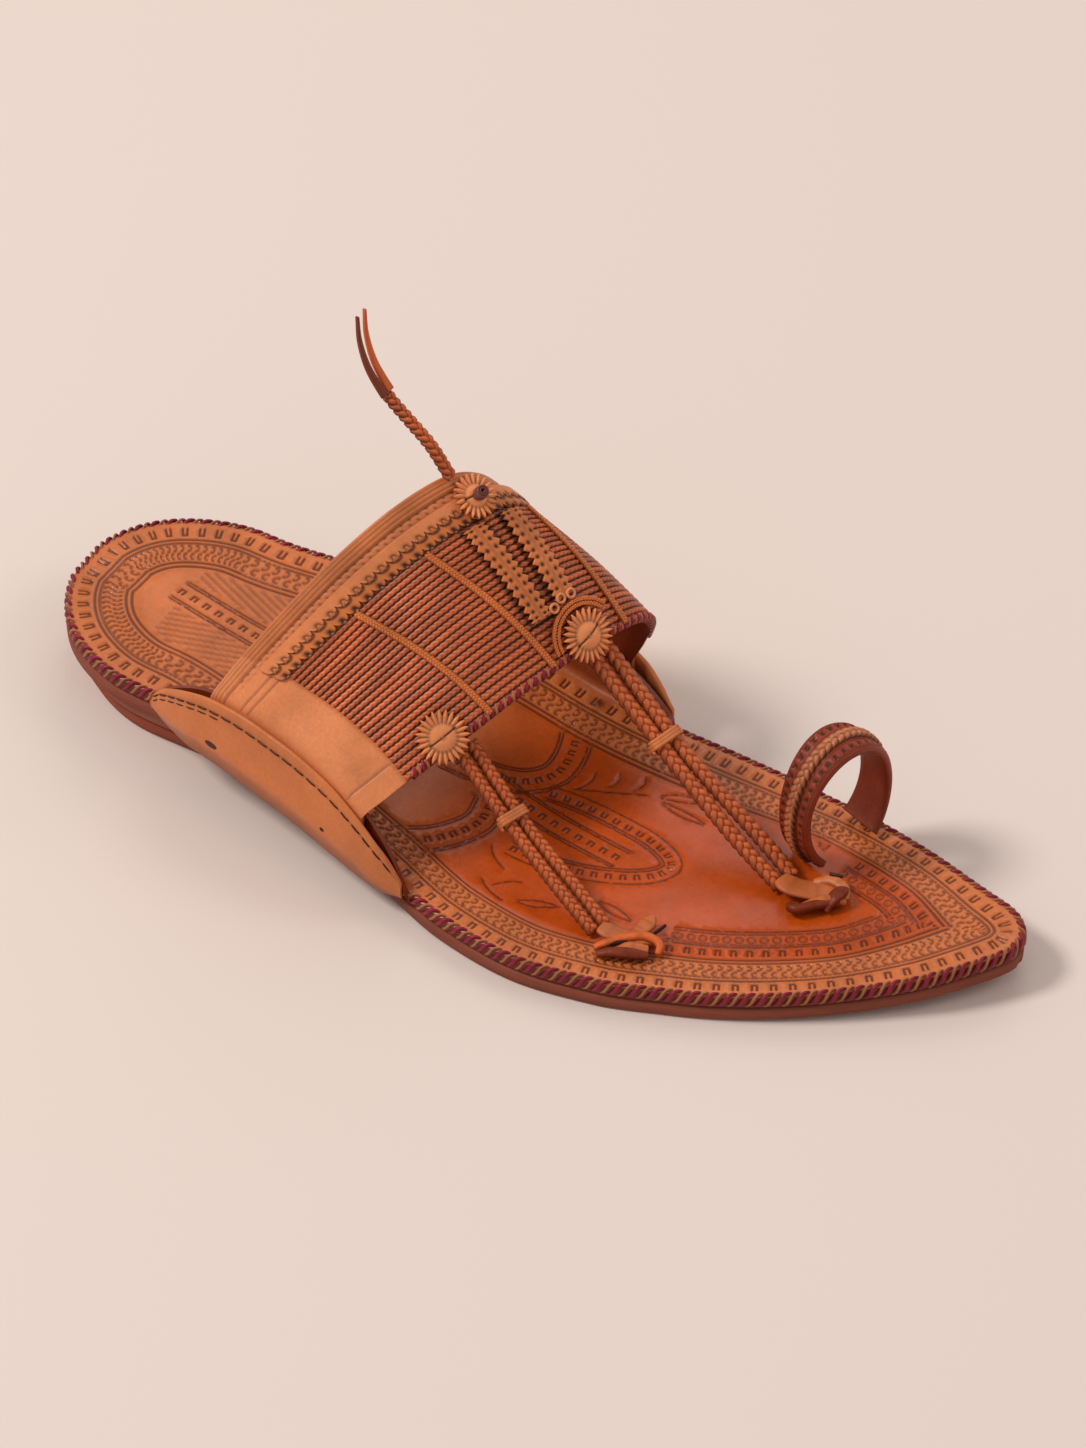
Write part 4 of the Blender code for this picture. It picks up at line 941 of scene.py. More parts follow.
def make_footbed(material):
    """The tooled insole with both inner leaves. Gives back the line of its cut edge."""
    rim = Track(rim_outline(True), closed=True)
    plan = Track(rim_outline(False), closed=True, stretch=rim_stretch)
    tracks = [(Track(smooth_path(line, FIELD_POINTS)), rows) for line, rows in FIELDS]
    tracks += [(Track(stroke_line(*leaf)), STROKE_ROWS) for leaf in LEAVES]
    edge_points = rim.points[::2]
    flat, faces = flat_mesh(edge_points, footbed_points(rim, plan, tracks))
    inset = rim.locate(flat)[1]
    plan_place = plan.locate(flat)
    cut, dark = footbed_relief(flat, rim, plan, inset, plan_place, tracks)
    colour = footbed_colour(flat, plan_place[1], dark)
    body = Body()
    body.add(fold(flat, 0.0, cut), faces, colour)
    side = [fold(edge_points, share, outset)
            for share, outset in ((0.0, ROLLED_EDGE), (0.5, 0.0), (1.0, 0.0))]
    body.add_grid(np.stack(side, axis=0), LEAF, close_columns=True)
    inner = [plan.spots(np.arange(0.0, plan.length, 2.5), inset) for inset in np.arange(-2.4, 2.5, 1.2)]
    inner = np.vstack(inner + [square_grid(4.0, 277.0, -72.0, 62.0, 6.0)])
    inner = inner[rim.locate(inner)[1] > 2.0]
    under, under_faces = flat_mesh(edge_points, inner)
    body.add(fold(under, 1.0, 0.0), under_faces, LEAF)
    add_piece("footbed_tooled", body, material, ("footbed",))
    return rim


def footbed_colour(flat, inset, dark):
    """Orange in the middle, paler towards the rim, and glossy dark brown on the ears' inner leaves, where
    the brown is painted shade.
    """
    towards_heel = 1.0 - eased(flat[:, 0], 90.0, 150.0)
    colour = blend(ORANGE, TAN, np.clip(np.maximum((14.5 - inset) / 4.0, towards_heel), 0.0, 0.8))
    along = flat[:, 0] / SOLE_LENGTH
    # Painted shade: where the footbed turns up at the ears, under the band, it is blended towards dark
    # brown.
    leaf_shade = np.zeros(len(flat))
    for ear in (LATERAL, MEDIAL):
        turn, straight, edge, start = ear_fold(ear, along)
        turned_up = np.clip((ear.side * flat[:, 1] - edge + 4.0) / 5.0, 0.0, 1.0) * (turn > 0.6)
        leaf_shade = np.maximum(leaf_shade, turned_up)
    return blend(blend(colour, LEAF, 0.75 * leaf_shade), GROOVE, dark)


# Whip-stitching over an edge

def whip_stitches(body, edge, inward, normal, wall, pitch, widths, slant, reach, colours, keep):
    """Slanting stitches wrapped over an edge, in turn in each colour.

    edge, inward and normal are arrays along the edge, wall the leather's thickness, reach how far the
    stitches go in over the top, and keep says where they are sewn.
    """
    arcs = arc_lengths(edge)
    profile = np.array([(reach, -0.2, 0.5), (reach * 0.6, 0.36, 0.34), (0.1, 0.46, 0.16), (-0.45, 0.0, 0.02),
                        (-0.62, -0.35 * wall, -0.14), (-0.6, -0.65 * wall, -0.30),
                        (-0.2, -0.85 * wall, -0.5)])
    cross = np.array([(-0.5, -0.40), (-0.34, 0.08), (0.0, 0.24), (0.34, 0.08), (0.5, -0.40)])
    for k in range(int(arcs[-1] / pitch)):
        at = (k + 0.5) * pitch
        if not keep(np.interp(at, arcs, np.arange(len(edge)))):
            continue
        width = widths[k % len(widths)]
        places = at + profile[:, 2, None] * slant + cross[None, :, 0] * width
        places = np.clip(places, 0.0, arcs[-1])
        spots, ins, ups = (read_at(places, arcs, field) for field in (edge, inward, normal))
        swell_in = np.gradient(profile[:, 1])
        swell_up = np.gradient(profile[:, 0])
        length = np.hypot(swell_in, swell_up)
        out_in = (swell_in / length)[:, None] * cross[None, :, 1]
        out_up = (-swell_up / length)[:, None] * cross[None, :, 1]
        ring = spots + ins * (profile[:, 0, None] + out_in)[..., None]
        ring = ring + ups * (profile[:, 1, None] + out_up)[..., None]
        # Each stitch goes darker towards its sides: painted shade.
        tone = 1.0 - 0.9 * np.abs(cross[:, 0])
        colour = np.asarray(colours[k % len(colours)]) * tone[:, None]
        body.add_grid(ring, np.broadcast_to(colour, ring.shape))


def make_rim_stitches(rim, material):
    """The lace over the footbed's edge, wherever no ear stands."""
    flat = np.vstack([rim.points, rim.points[:1]])
    left = np.vstack([rim.left, rim.left[:1]])
    edge = fold(flat, 0.0, 0.0)
    inner = fold(flat + left * 1.0, 0.0, 0.0)
    inward = unit(inner - edge)
    ahead = unit(np.gradient(edge, axis=0))
    normal = unit(np.cross(ahead, inward))
    if np.mean(normal[:, 2]) < 0.0:
        normal = -normal
    along = flat[:, 0] / SOLE_LENGTH
    rises = [ear_rise(LATERAL, along) * (flat[:, 1] < 0.0), ear_rise(MEDIAL, along) * (flat[:, 1] > 0.0)]
    open_edge = np.maximum(rises[0], rises[1]) < 1.2
    body = Body()
    whip_stitches(body, edge, inward, normal, FOOTBED_THICKNESS, 2.35, (1.8, 1.15), 4.4, 1.3,
                  (CRIMSON, LACE_TAN), lambda place: open_edge[int(place)])
    add_piece("rim_stitches", body, material, outward=False)


# Sole

def make_slab(name, low, high, inset_low, inset_high, breast, material, colour, node):
    """A layer of the sole or heel with softened edges. low and high are functions of the place along."""
    share = cosine_steps(180)
    share = share * breast if breast < 1.0 else 0.0006 + share * 0.9988
    share = np.maximum(share, 0.0006)
    profile = [(inset_low + 0.5, 0.0), (inset_low, 0.12), (inset_high, 0.88), (inset_high + 0.4, 1.0)]
    rings = []
    for side in (-1, 1):
        rows = profile if side < 0 else profile[::-1]
        for inset, level in rows:
            along = share * (1.0 - 2.0 * inset / SOLE_LENGTH) + inset / SOLE_LENGTH
            width_at = np.minimum(share, HEEL_WIDEST) if breast < 1.0 else share
            y = plan_side(width_at, side, inset)
            z = low(share) * (1.0 - level) + high(share) * level
            rings.append(np.stack([along * SOLE_LENGTH, y, z], axis=1))
    rings = np.stack(rings, axis=1)
    body = Body()
    body.add_sweep(rings, colour)
    add_piece(name, body, material, (node,))


def make_sole(material):
    """The outsole and the two lifts of the heel."""
    make_slab("outsole_leather", underside, lambda along: underside(along) + OUTSOLE_THICKNESS,
              0.15, 0.0, 1.0, material, EDGE, "outsole")
    for index, name in ((0, "lower"), (1, "upper")):
        low = index * (LIFT_THICKNESS + GAP)
        insets = [LIFT_INSET + LIFT_TAPER * (1.0 - level / LIFT_COUNT) for level in (index, index + 1)]
        colour = LIFT_RED if index == 0 else EDGE_TOP
        make_slab("heel_layer_" + name, lambda along, low=low: low + 0.0 * along,
                  lambda along, low=low: low + LIFT_THICKNESS + 0.0 * along, insets[0], insets[1],
                  HEEL_BREAST / SOLE_LENGTH, material, colour, "heel_lift_" + name)


# Ears

# Where the outer leaf starts and ends, as shares of its ear, and how thin it gets there
EAR_LEAF_FROM = 0.03
EAR_LEAF_TO = 0.98
LEAF_THINNEST = 0.4
LEAF_WHOLE_RISE = 0.4
# Shares of the way down the leaf: its rings, its seam and its hole
LEAF_SHARES = (0.0, 0.03, 0.08, 0.15, 0.20, 0.25, 0.32, 0.45, 0.6, 0.75, 0.88, 1.0)
SEAM_SHARE = 0.20
HOLE_SHARE = 0.845
EDGE_SOFTENS = 0.35
SEAM_PITCH = 4.3
SEAM_STITCH = 3.1
SECOND_SEAM = 1.5


def make_ear_leaf(name, ear, material, stitch_material):
    """The outer leaf of an ear, with the bottom of the slot between the leaves, its seam and its hole."""
    through = EAR_LEAF_FROM + (EAR_LEAF_TO - EAR_LEAF_FROM) * cosine_steps(150)
    along = ear.rear + (ear.front - ear.rear) * through
    rise = ear_rise(ear, along)
    turn, straight = leaf_bend(rise)
    thin = np.minimum(1.0, LEAF_THINNEST + (1.0 - LEAF_THINNEST) * rise / (LEAF_WHOLE_RISE * EAR_HEIGHT))
    proud = EAR_PROUD * thin
    wall = EAR_LEAF * thin
    inside = GAP + ear_cover_share(through) * (BAND_WALL + 2.0 * SLOT_GAP - GAP)
    outside = inside + wall
    whole = straight + proud + EAR_BEND * np.maximum(turn - EAR_FOOT_TURN, 0.1)

    def leaf_line(share, outset):
        """Points along the ear, at a share of the way down the leaf from its edge."""
        return section(ear, along, share * whole, outset, proud)

    rings = []
    colours = []
    for share in LEAF_SHARES:
        soften = EDGE_SOFTENS * np.exp(-share / 0.03)
        rings.append(leaf_line(share, inside + soften * wall))
        colours.append(TAN)
    for share in LEAF_SHARES[::-1]:
        seam = 0.32 * math.exp(-((share - SEAM_SHARE) / 0.035) ** 2)
        soften = EDGE_SOFTENS * np.exp(-share / 0.03)
        rings.append(leaf_line(share, inside + wall * (1.0 - soften) - seam))
        # The seam's groove and the leaf's foot by the sole are darkened as painted shade.
        in_seam = math.exp(-((share - SEAM_SHARE) / 0.03) ** 2)
        at_foot = math.exp(-((1.0 - share) / 0.05) ** 2)
        painted_shade = 1.0 - 0.25 * in_seam - 0.2 * at_foot
        colours.append(tuple(channel * painted_shade for channel in TAN))
    rings = np.stack(rings, axis=1)
    body = Body()
    body.add_sweep(rings, np.broadcast_to(np.array(colours)[None, :, :], rings.shape))
    corners = ((0.92, 0.12), (0.92, inside - 0.04), (0.985, inside - 0.04), (0.985, 0.12))
    body.add_sweep(np.stack([leaf_line(*corner) for corner in corners], axis=1), LEAF)
    add_piece(name, body, material, (name.replace("_leaf", ""),))
    make_ear_seam(name + "_seam", ear, along, leaf_line, outside, stitch_material)


def make_ear_seam(name, ear, along, leaf_line, outside, material):
    """The running stitches below the leaf's edge, doubled at the rear, and the outer ear's hole and dot."""
    body = Body()
    line = leaf_line(SEAM_SHARE, outside + 0.02)
    arcs = arc_lengths(line)
    out = unit(leaf_line(SEAM_SHARE, outside + 1.0) - line)
    down = unit(leaf_line(SEAM_SHARE + 0.10, outside + 0.02) - line)
    for second, last in ((0.0, arcs[-1] - 5.0), (SECOND_SEAM, 0.3 * arcs[-1])):
        for start in np.arange(3.0, last, SEAM_PITCH):
            at = np.linspace(start, start + SEAM_STITCH, 7)
            away = read_at(at, arcs, out)
            path = read_at(at, arcs, line) + read_at(at, arcs, down) * second
            path += away * (0.18 * np.sin(np.linspace(0.0, math.pi, 7)) - 0.12)[:, None]
            add_tube(body, path, away, 0.42, 0.34, 6, DARK)
    if ear is LATERAL:
        low_line = leaf_line(HOLE_SHARE, outside)
        for place, length, width in ((0.244, 4.2, 1.9), (0.381, 1.5, 1.2)):
            k = int(np.argmin(np.abs(along - place)))
            ahead = unit(low_line[k + 1] - low_line[k - 1])
            steps = np.linspace(-0.5, 0.5, 15)
            path = low_line[k] + ahead * (steps * length)[:, None] + out[k] * 0.02
            taper = np.sqrt(np.clip(1.02 - (2.0 * steps) ** 2, 0.02, 1.0))
            add_tube(body, path, out[k], width, 0.16, 12, DARK, taper)
    add_piece(name, body, material)


def add_tube(body, path, up, width, thickness, sides, colour, taper=None, painted_shade=0.0):
    """A tube with an oval section, its flat side square to up, and darker at its sides by the given amount
    of painted shade.
    """
    side, lift = path_sides(path, up)
    angles = 2.0 * math.pi * (np.arange(sides) + 0.5) / sides
    size = np.ones(len(path)) if taper is None else taper
    rings = path[:, None, :]
    for way, turned, span in ((side, np.cos(angles), width), (lift, np.sin(angles), thickness)):
        rings = rings + way[:, None, :] * (turned[None, :, None] * size[:, None, None] * span / 2.0)
    # Painted shade towards the tube's sides, between plaited strands.
    tone = 1.0 - painted_shade * np.clip(1.25 * np.abs(np.cos(angles)) - 0.25, 0.0, 1.0)
    body.add_sweep(rings, np.broadcast_to(np.asarray(colour) * tone[:, None], rings.shape))


# Band

CORD_PITCH = (1.0 - CORDS_START) / CORD_COUNT
CORD_TWIST = 1.7
StripRow = namedtuple("StripRow", "share around along")
STRIP_OUTER = (StripRow(0.0, 0.508, 0.284), StripRow(0.5, 0.496, 0.55), StripRow(1.0, 0.484, 0.80))
STRIP_INNER = (StripRow(0.0, 0.576, 0.290), StripRow(0.5, 0.558, 0.54), StripRow(1.0, 0.542, 0.77))


def band_paint_and_raise(around, along_band, arc):
    """Height over the plain outer face, and colour, for the band's dense outer face."""
    raised = np.zeros(around.shape)
    colour = np.broadcast_to(np.array(TAN), around.shape + (3,)).copy()
    # The end panels, and at 0.6 the strip behind the scallops, take the panel colour, brightened as painted
    # sheen.
    panel = np.maximum(around < CORDS_FROM, around > CORDS_TO) * 1.0
    panel = np.maximum(panel, 0.6 * ((along_band > BINDING_END) & (along_band < SCALLOPS_START)))
    colour = colour * (1.0 - panel[..., None]) + np.array(PANEL_SHEEN) * panel[..., None]
    binding = along_band < BINDING_END
    rounded = np.sqrt(np.clip(1.0 - (2.0 * along_band / BINDING_END - 1.0) ** 2, 0.0, 1.0))
    raised = np.where(binding, BINDING_RAISE * (0.3 + 0.7 * rounded), raised)
    lines = sum(bell(along_band - place, 0.006) for place in (0.016, 0.038, 0.060))
    seam = bell(along_band - BINDING_END - 0.006, 0.010)
    pins = 0.0
    for row, shift in ((0.098, 0.0), (0.122, 0.5)):
        spot = ((arc / 2.6 + shift) % 1.0 - 0.5) * 2.6
        pins = np.maximum(pins, bell(np.hypot(spot, (along_band - row) * 58.0), 0.75))
    pinned = (around > CORDS_FROM - 0.06) & (around < CORDS_TO + 0.05)
    for mark, depth, fade in ((lines, 0.2, 0.5), (seam, 0.2, 0.5), (pins * pinned, 0.28, 0.6)):
        raised -= depth * mark
        colour *= (1.0 - fade * np.minimum(mark, 1.0))[..., None]
    corded = (around > CORDS_FROM) & (around < CORDS_TO) & (along_band > CORDS_START)
    place = (along_band - CORDS_START) / CORD_PITCH
    number = np.floor(place)
    t = 2.0 * (place - number) - 1.0
    rib = np.sqrt(np.clip(1.0 - t * t, 0.0, 1.0))
    twist = np.sin(2.0 * math.pi * (arc / CORD_TWIST + 0.7 * np.abs(t) + 0.37 * number))
    rope = CORD_RAISE * rib + 0.07 * (twist - 1.0) * rib
    raised = np.where(corded, rope, raised)
    # Painted shade where neighbouring cords meet, and painted light and shade along the twist; the term by
    # cord number is the cords' own tone.
    tone = 0.08 + 0.84 * rib ** 2 + 0.38 * twist * rib + 0.08 * np.sin(number * 2.4)
    # Painted shadow of the lower scallop row on the cords just behind its edge.
    tone *= 1.0 - 0.55 * bell(along_band - CORDS_START, 0.03)
    tone *= 1.0 + 0.16 * np.sin(arc / 9.0 + number * 1.3) * np.sin(arc / 23.0)
    # Painted shade on the cords under each pinked strip and for a millimetre beside it.
    for rows in (STRIP_OUTER, STRIP_INNER):
        centre = curve_of(rows, "along", "around")(along_band[0])
        middle = np.array([np.interp(place, around[:, 0], arc[:, k]) for k, place in enumerate(centre)])
        beside = np.abs(arc - middle[None, :])
        under = (along_band > rows[0].along - 0.02) & (along_band < rows[-1].along + 0.02)
        tone *= 1.0 - 0.65 * under * np.clip((STRIP_WIDTH / 2.0 + 1.0 - beside) / 0.8, 0.0, 1.0)
    cord_colour = np.array(CORD)[None, None, :] * tone[..., None]
    colour = np.where(corded[..., None], cord_colour, colour)
    # Painted shade: the cords take a darker colour where the scallop rows cover them.
    shaded_under_scallops = (along_band > SCALLOPS_START + 0.02) & (along_band <= CORDS_START)
    shaded_under_scallops = shaded_under_scallops & (around > CORDS_FROM) & (around < CORDS_TO)
    colour = np.where(shaded_under_scallops[..., None], np.array(CORD) * 0.6, colour)
    # Creases in the side panel, dented and darkened; the darkening is painted shade.
    for place in (0.20, 0.245, 0.90):
        crease = bell(along_band - place, 0.012) * ((around > 0.075) & (around < CORDS_FROM))
        raised -= 0.25 * crease
        colour *= (1.0 - 0.45 * crease)[..., None]
    return raised, colour


def band_stations():
    """Places along the band, six to a cord."""
    smooth = np.linspace(0.0, CORDS_START, 44, endpoint=False)
    shares = np.array([0.0, 0.07, 0.24, 0.5, 0.76, 0.93])
    cords = (CORDS_START + CORD_PITCH * (np.arange(CORD_COUNT)[:, None] + shares[None, :])).ravel()
    return np.concatenate([smooth, cords, [1.0]])


def make_band(material, stitch_material):
    """The corded band as one wall, with the lace over its front edge."""
    edge = 0.0015
    around = np.concatenate([np.linspace(0.0, CORDS_FROM, 34), np.linspace(CORDS_FROM + edge, CORDS_TO, 390),
                             np.linspace(CORDS_TO + edge, 1.0, 30)])
    along_band = band_stations()
    a, v = np.meshgrid(around, along_band, indexing="ij")
    middle = on_band(a, v, 0.0)
    steps = np.linalg.norm(np.diff(middle, axis=0), axis=2)
    arc = np.vstack([np.zeros((1, len(along_band))), np.cumsum(steps, axis=0)])
    raised, colour = band_paint_and_raise(a, v, arc)
    inner_along = np.linspace(1.0, 0.0, 10)
    b, w = np.meshgrid(around, inner_along, indexing="ij")
    tight = np.clip((a - SLOT_SHARE) / 0.03, 0.0, 1.0) * np.clip((1.0 - SLOT_SHARE - a) / 0.03, 0.0, 1.0)
    outer = on_band(a, v, BAND_WALL / 2.0 + raised * tight)
    inner = on_band(b, w, -BAND_WALL / 2.0)
    body = Body()
    body.add_lined(outer, colour, inner, np.array(LEAF) * 0.9)
    add_piece("band_corded", body, material, ("upper",))
    make_front_stitches(stitch_material)


def make_front_stitches(material):
    """The lace over the band's front edge."""
    around = np.linspace(CORDS_FROM + 0.01, CORDS_TO - 0.005, 400)
    top = BAND_WALL / 2.0 + 0.45
    edge = on_band(around, 1.0, top)
    inward = unit(on_band(around, 0.985, top) - edge)
    normal = unit(on_band(around, 1.0, top + 1.0) - edge)
    body = Body()
    whip_stitches(body, edge, inward, normal, BAND_WALL + 0.5, 1.4, (1.6, 1.2), 2.4, 2.0,
                  (CRIMSON, LACE_TAN), lambda place: True)
    add_piece("front_stitches", body, material, outward=False)


PLAIT_STRANDS = 3
PLAIT_STEPS = 14


def plait_lines(path, up, width, thickness, pitch):
    """Centre lines of a flat plait's strands along a path, each with its upward directions."""
    arcs = arc_lengths(path)
    at = np.linspace(0.0, arcs[-1], max(int(arcs[-1] / pitch * PLAIT_STEPS), 12))
    spots = read_at(at, arcs, path)
    side, lift = path_sides(spots, read_at(at, arcs, np.broadcast_to(up, path.shape)))
    lines = []
    for strand in range(PLAIT_STRANDS):
        angle = 2.0 * math.pi * (at / pitch + strand / PLAIT_STRANDS)
        line = spots + side * (np.sin(angle) * width * 0.25)[:, None]
        line = line + lift * (np.sin(2.0 * angle) * thickness * 0.24)[:, None]
        lines.append((line, lift))
    return lines


def add_plait(body, path, up, width, thickness, pitch, colour, end_taper=1.0):
    """A flat plait of three strands."""
    for number, (line, lift) in enumerate(plait_lines(path, up, width, thickness, pitch)):
        taper = np.linspace(1.0, end_taper, len(line))
        tone = 1.0 + 0.06 * (number - 1)
        strand_colour = tuple(channel * tone for channel in colour)
        # Each strand is darkened at its sides as painted shade.
        add_tube(body, line, lift, width * 0.50, thickness * 0.50, 10, strand_colour, taper, 0.72)


Run = namedtuple("Run", "around_back along_back around_front along_front")
STITCH_RUNS = (Run(0.310, 0.275, 0.335, 0.985), Run(0.430, 0.275, 0.455, 0.985),
               Run(0.640, 0.275, 0.620, 0.985))


def make_band_runs(material):
    """The light stitched runs that hold the cords together."""
    body = Body()
    for run in STITCH_RUNS:
        t = np.linspace(0.0, 1.0, 90)
        around = run.around_back + (run.around_front - run.around_back) * t
        along_band = run.along_back + (run.along_front - run.along_back) * t
        height = BAND_WALL / 2.0 + CORD_RAISE + 0.12
        path = on_band(around, along_band, height)
        up = unit(on_band(around, along_band, height + 1.0) - path)
        add_plait(body, path, up, 2.3, 1.1, 2.6, RUN)
    add_piece("band_runs", body, material)


def make_scallop_rows(material):
    """Two overlapping scalloped strips with keyhole cuts."""
    body = Body()
    first = CORDS_FROM - 0.01
    last = CORDS_TO + 0.02
    rows = ((SCALLOPS_START, 0.212, OVERLAY, 0.55), (SCALLOPS_START + 0.05, CORDS_START + 0.004, 0.62, 0.0))
    length = np.linalg.norm(on_band(first, 0.2, 1.0) - on_band(0.5, 0.2, 1.0)) * 1.06
    length += np.linalg.norm(on_band(last, 0.2, 1.0) - on_band(0.5, 0.2, 1.0)) * 1.06
    count = int(length / SCALLOP_PITCH)
    per = 14
    t = np.arange(count * per + 1) / (count * per)
    phase = (np.arange(count * per + 1) % per) / per
    lobes = np.sqrt(np.clip(1.0 - (2.0 * phase - 1.0) ** 2, 0.0, 1.0))
    across = np.linspace(0.0, 1.0, 27)
    for back, front, top, lift in rows:
        reach = front - SCALLOP_DEPTH * (1.0 - lobes)
        place = np.broadcast_to(first + (last - first) * t[:, None], (len(t), len(across)))
        along_band = back + (reach[:, None] - back) * across[None, :]
        seat = BAND_WALL / 2.0 + 1.5 * GAP
        spot = (phase[:, None] - 0.5) * SCALLOP_PITCH
        depth = (front - 0.021 - along_band) * 56.0
        hole = bell(np.hypot(spot, depth), 1.5)
        arm = bell(np.abs(spot) - 0.8 * np.clip(-depth, 0.0, 1.3), 0.5) * ((depth < 0.1) & (depth > -1.35))
        pierced = np.clip(1.2 * hole + arm, 0.0, 1.0)
        round_edge = 0.25 * np.clip((across - 0.86) / 0.14, 0.0, 1.0) ** 2
        high = seat + top - round_edge[None, :] - 0.55 * pierced
        upper_face = on_band(place, along_band, high)
        lower_face = on_band(place, along_band, seat + lift - 0.1)
        # Painted shade along the front edges of the lobes.
        edge_shade = 0.8 * np.clip((across - 0.88) / 0.1, 0.0, 1.0)[None, :]
        # Painted shadow of the upper row's lobes across the lower row.
        upper_edge = rows[0][1] - SCALLOP_DEPTH * (1.0 - lobes[:, None])
        upper_row_shadow = 0.9 * bell(along_band - upper_edge - 0.006, 0.016) * (lift == 0.0)
        # The upper scallop row takes the panel colour, brightened as painted sheen.
        colour = blend(PANEL_SHEEN if lift else STRIP, DARK, np.maximum(np.maximum(pierced, upper_row_shadow), edge_shade))
        body.add_lined(upper_face, colour, lower_face[:, ::-1], CORD)
    add_piece("scallop_rows", body, material, ("scallop_strip",))


def make_pinked_strip(name, rows, material):
    """A saw-toothed strip along the cords, with two rows of punches."""
    seat = OVER_CORDS
    ends = [on_band(row.around, row.along, seat) for row in (rows[0], rows[-1])]
    teeth = 2 * max(int(np.linalg.norm(ends[1] - ends[0]) / TOOTH_PITCH), 2)
    per = 6
    t = np.linspace(0.0, 1.0, teeth * per + 1)
    around = curve_of(rows, "share", "around")(t)
    along_band = curve_of(rows, "share", "along")(t)
    step = 0.01
    size = np.linalg.norm(on_band(around + step, along_band, 0.0) - on_band(around - step, along_band, 0.0),
                          axis=1) / (2.0 * step)
    saw = np.abs(((t * teeth) % 2.0) - 1.0)
    half = (STRIP_WIDTH / 2.0 - 1.2 * (1.0 - saw)) / size
    across = np.linspace(-1.0, 1.0, 29)
    arc = t * teeth * TOOTH_PITCH / 2.0
    spot = (arc / TOOTH_PITCH % 1.0 - 0.5) * TOOTH_PITCH
    beside = across[None, :] * (half * size)[:, None]
    groove = bell(np.abs(beside) - 0.24, 0.26)
    holes = bell(np.hypot(spot[:, None], np.abs(beside) - 1.25), 0.95)
    cut = np.clip(1.2 * holes + 0.35 * groove, 0.0, 1.0)
    place = around[:, None] + across[None, :] * half[:, None]
    line = np.broadcast_to(along_band[:, None], place.shape)
    round_edge = 0.25 * np.clip((np.abs(across) - 0.8) / 0.2, 0.0, 1.0) ** 2
    top = on_band(place, line, seat + OVERLAY - round_edge[None, :] - 0.45 * cut)
    low = on_band(place, line, seat)
    body = Body()
    # The underside is near black, so the strip's sides carry painted shade; the punches and grooves are dark
    # cut marks.
    body.add_lined(top, blend(STRIP, DARK, cut), low[:, ::-1], DARK)
    add_piece(name, body, material, (name.replace("_tooled", ""),))


def on_disc(place, x, y, height):
    """Points over something that lies on the band: across it, forward on it and above it."""
    middle, across, forward, normal = place
    return middle + across * x[..., None] + forward * y[..., None] + normal * np.asarray(height)[..., None]


def add_rosette(body, place, radius, teeth, colour, cut_across):
    """A pinked disc with radial cuts, dished between its middle and its rim."""
    per = 8
    count = teeth * per
    angle = 2.0 * math.pi * np.arange(count) / count
    petal = 4.0 * np.abs((angle * teeth / (2.0 * math.pi)) % 1.0 - 0.5) - 1.0
    shares = np.array([0.04, 0.16, 0.30, 0.42, 0.52, 0.62, 0.72, 0.82, 0.91, 0.97, 1.0])
    dish = 1.15 + 1.3 * np.sqrt(np.clip(1.0 - (shares / 0.5) ** 2, 0.0, 1.0)) + 0.3 * (shares > 0.5)
    dish = dish - 0.35 * np.clip((shares - 0.93) / 0.07, 0.0, 1.0) ** 2
    notch = 2.0 * np.clip((shares[:, None] - 0.66) / 0.34, 0.0, 1.0)
    reach = radius * shares[:, None] - notch * (1.0 - petal[None, :]) / 2.0
    ridged = 0.34 * petal[None, :] * np.clip((shares[:, None] - 0.50) / 0.15, 0.0, 1.0)
    height = dish[:, None] + ridged
    x = reach * np.cos(angle)[None, :]
    y = reach * np.sin(angle)[None, :]
    slit = bell(x * math.cos(cut_across) + y * math.sin(cut_across), 0.5) * (shares[:, None] < 0.55)
    height = height - 0.5 * slit
    top = on_disc(place, x, y, height)
    groove = np.clip(-petal[None, :], 0.0, 1.0) * np.clip((shares[:, None] - 0.4) / 0.2, 0.0, 1.0)
    tone = 1.0 - 0.72 * groove ** 1.5 - 0.85 * slit - 0.45 * bell(shares[:, None] - 0.50, 0.09)
    low_reach = reach[-1] * 0.97
    low = on_disc(place, low_reach * np.cos(angle), low_reach * np.sin(angle), 0.0)
    core = on_disc(place, 0.3 * radius * np.cos(angle), 0.3 * radius * np.sin(angle), 0.0)
    rings = np.concatenate([top, low[None], core[None]], axis=0)
    tones = np.concatenate([tone, np.full((2, count), 0.5)], axis=0)
    body.add_sweep(rings, np.asarray(colour)[None, None, :] * tones[..., None])


def make_rosettes(material, dark_material):
    """The three pinked rosettes and the rolled knob on the one at the back."""
    seats = (("rosette_back", SEAT_BACK, OVER_SCALLOPS, ROSETTE_BACK_RADIUS, 20, 1.57),
             ("rosette_centre", SEAT_CENTRE, OVER_CORDS, ROSETTE_RADIUS, 24, 1.25),
             ("rosette_side", SEAT_SIDE, OVER_CORDS, ROSETTE_RADIUS, 24, 1.57))
    for name, seat, height, radius, teeth, slit_turn in seats:
        body = Body()
        add_rosette(body, band_frame(seat, height), radius, teeth, ROSETTE, slit_turn)
        add_piece(name + "_pinked", body, material, (name,))
    place = band_frame(SEAT_BACK, OVER_SCALLOPS + ROSETTE_THICKNESS + 0.6 + GAP)
    body = Body()
    t = np.linspace(0.0, 5.0 * math.pi, 60)
    radius = 0.45 + 1.35 * t / t[-1]
    path = on_disc(place, radius * np.cos(t), radius * np.sin(t), 1.6)
    add_tube(body, path, place[-1], 0.75, 3.2, 8, KNOB_BROWN)
    add_piece("rosette_knob_rolled", body, dark_material, ("rosette_knob",))


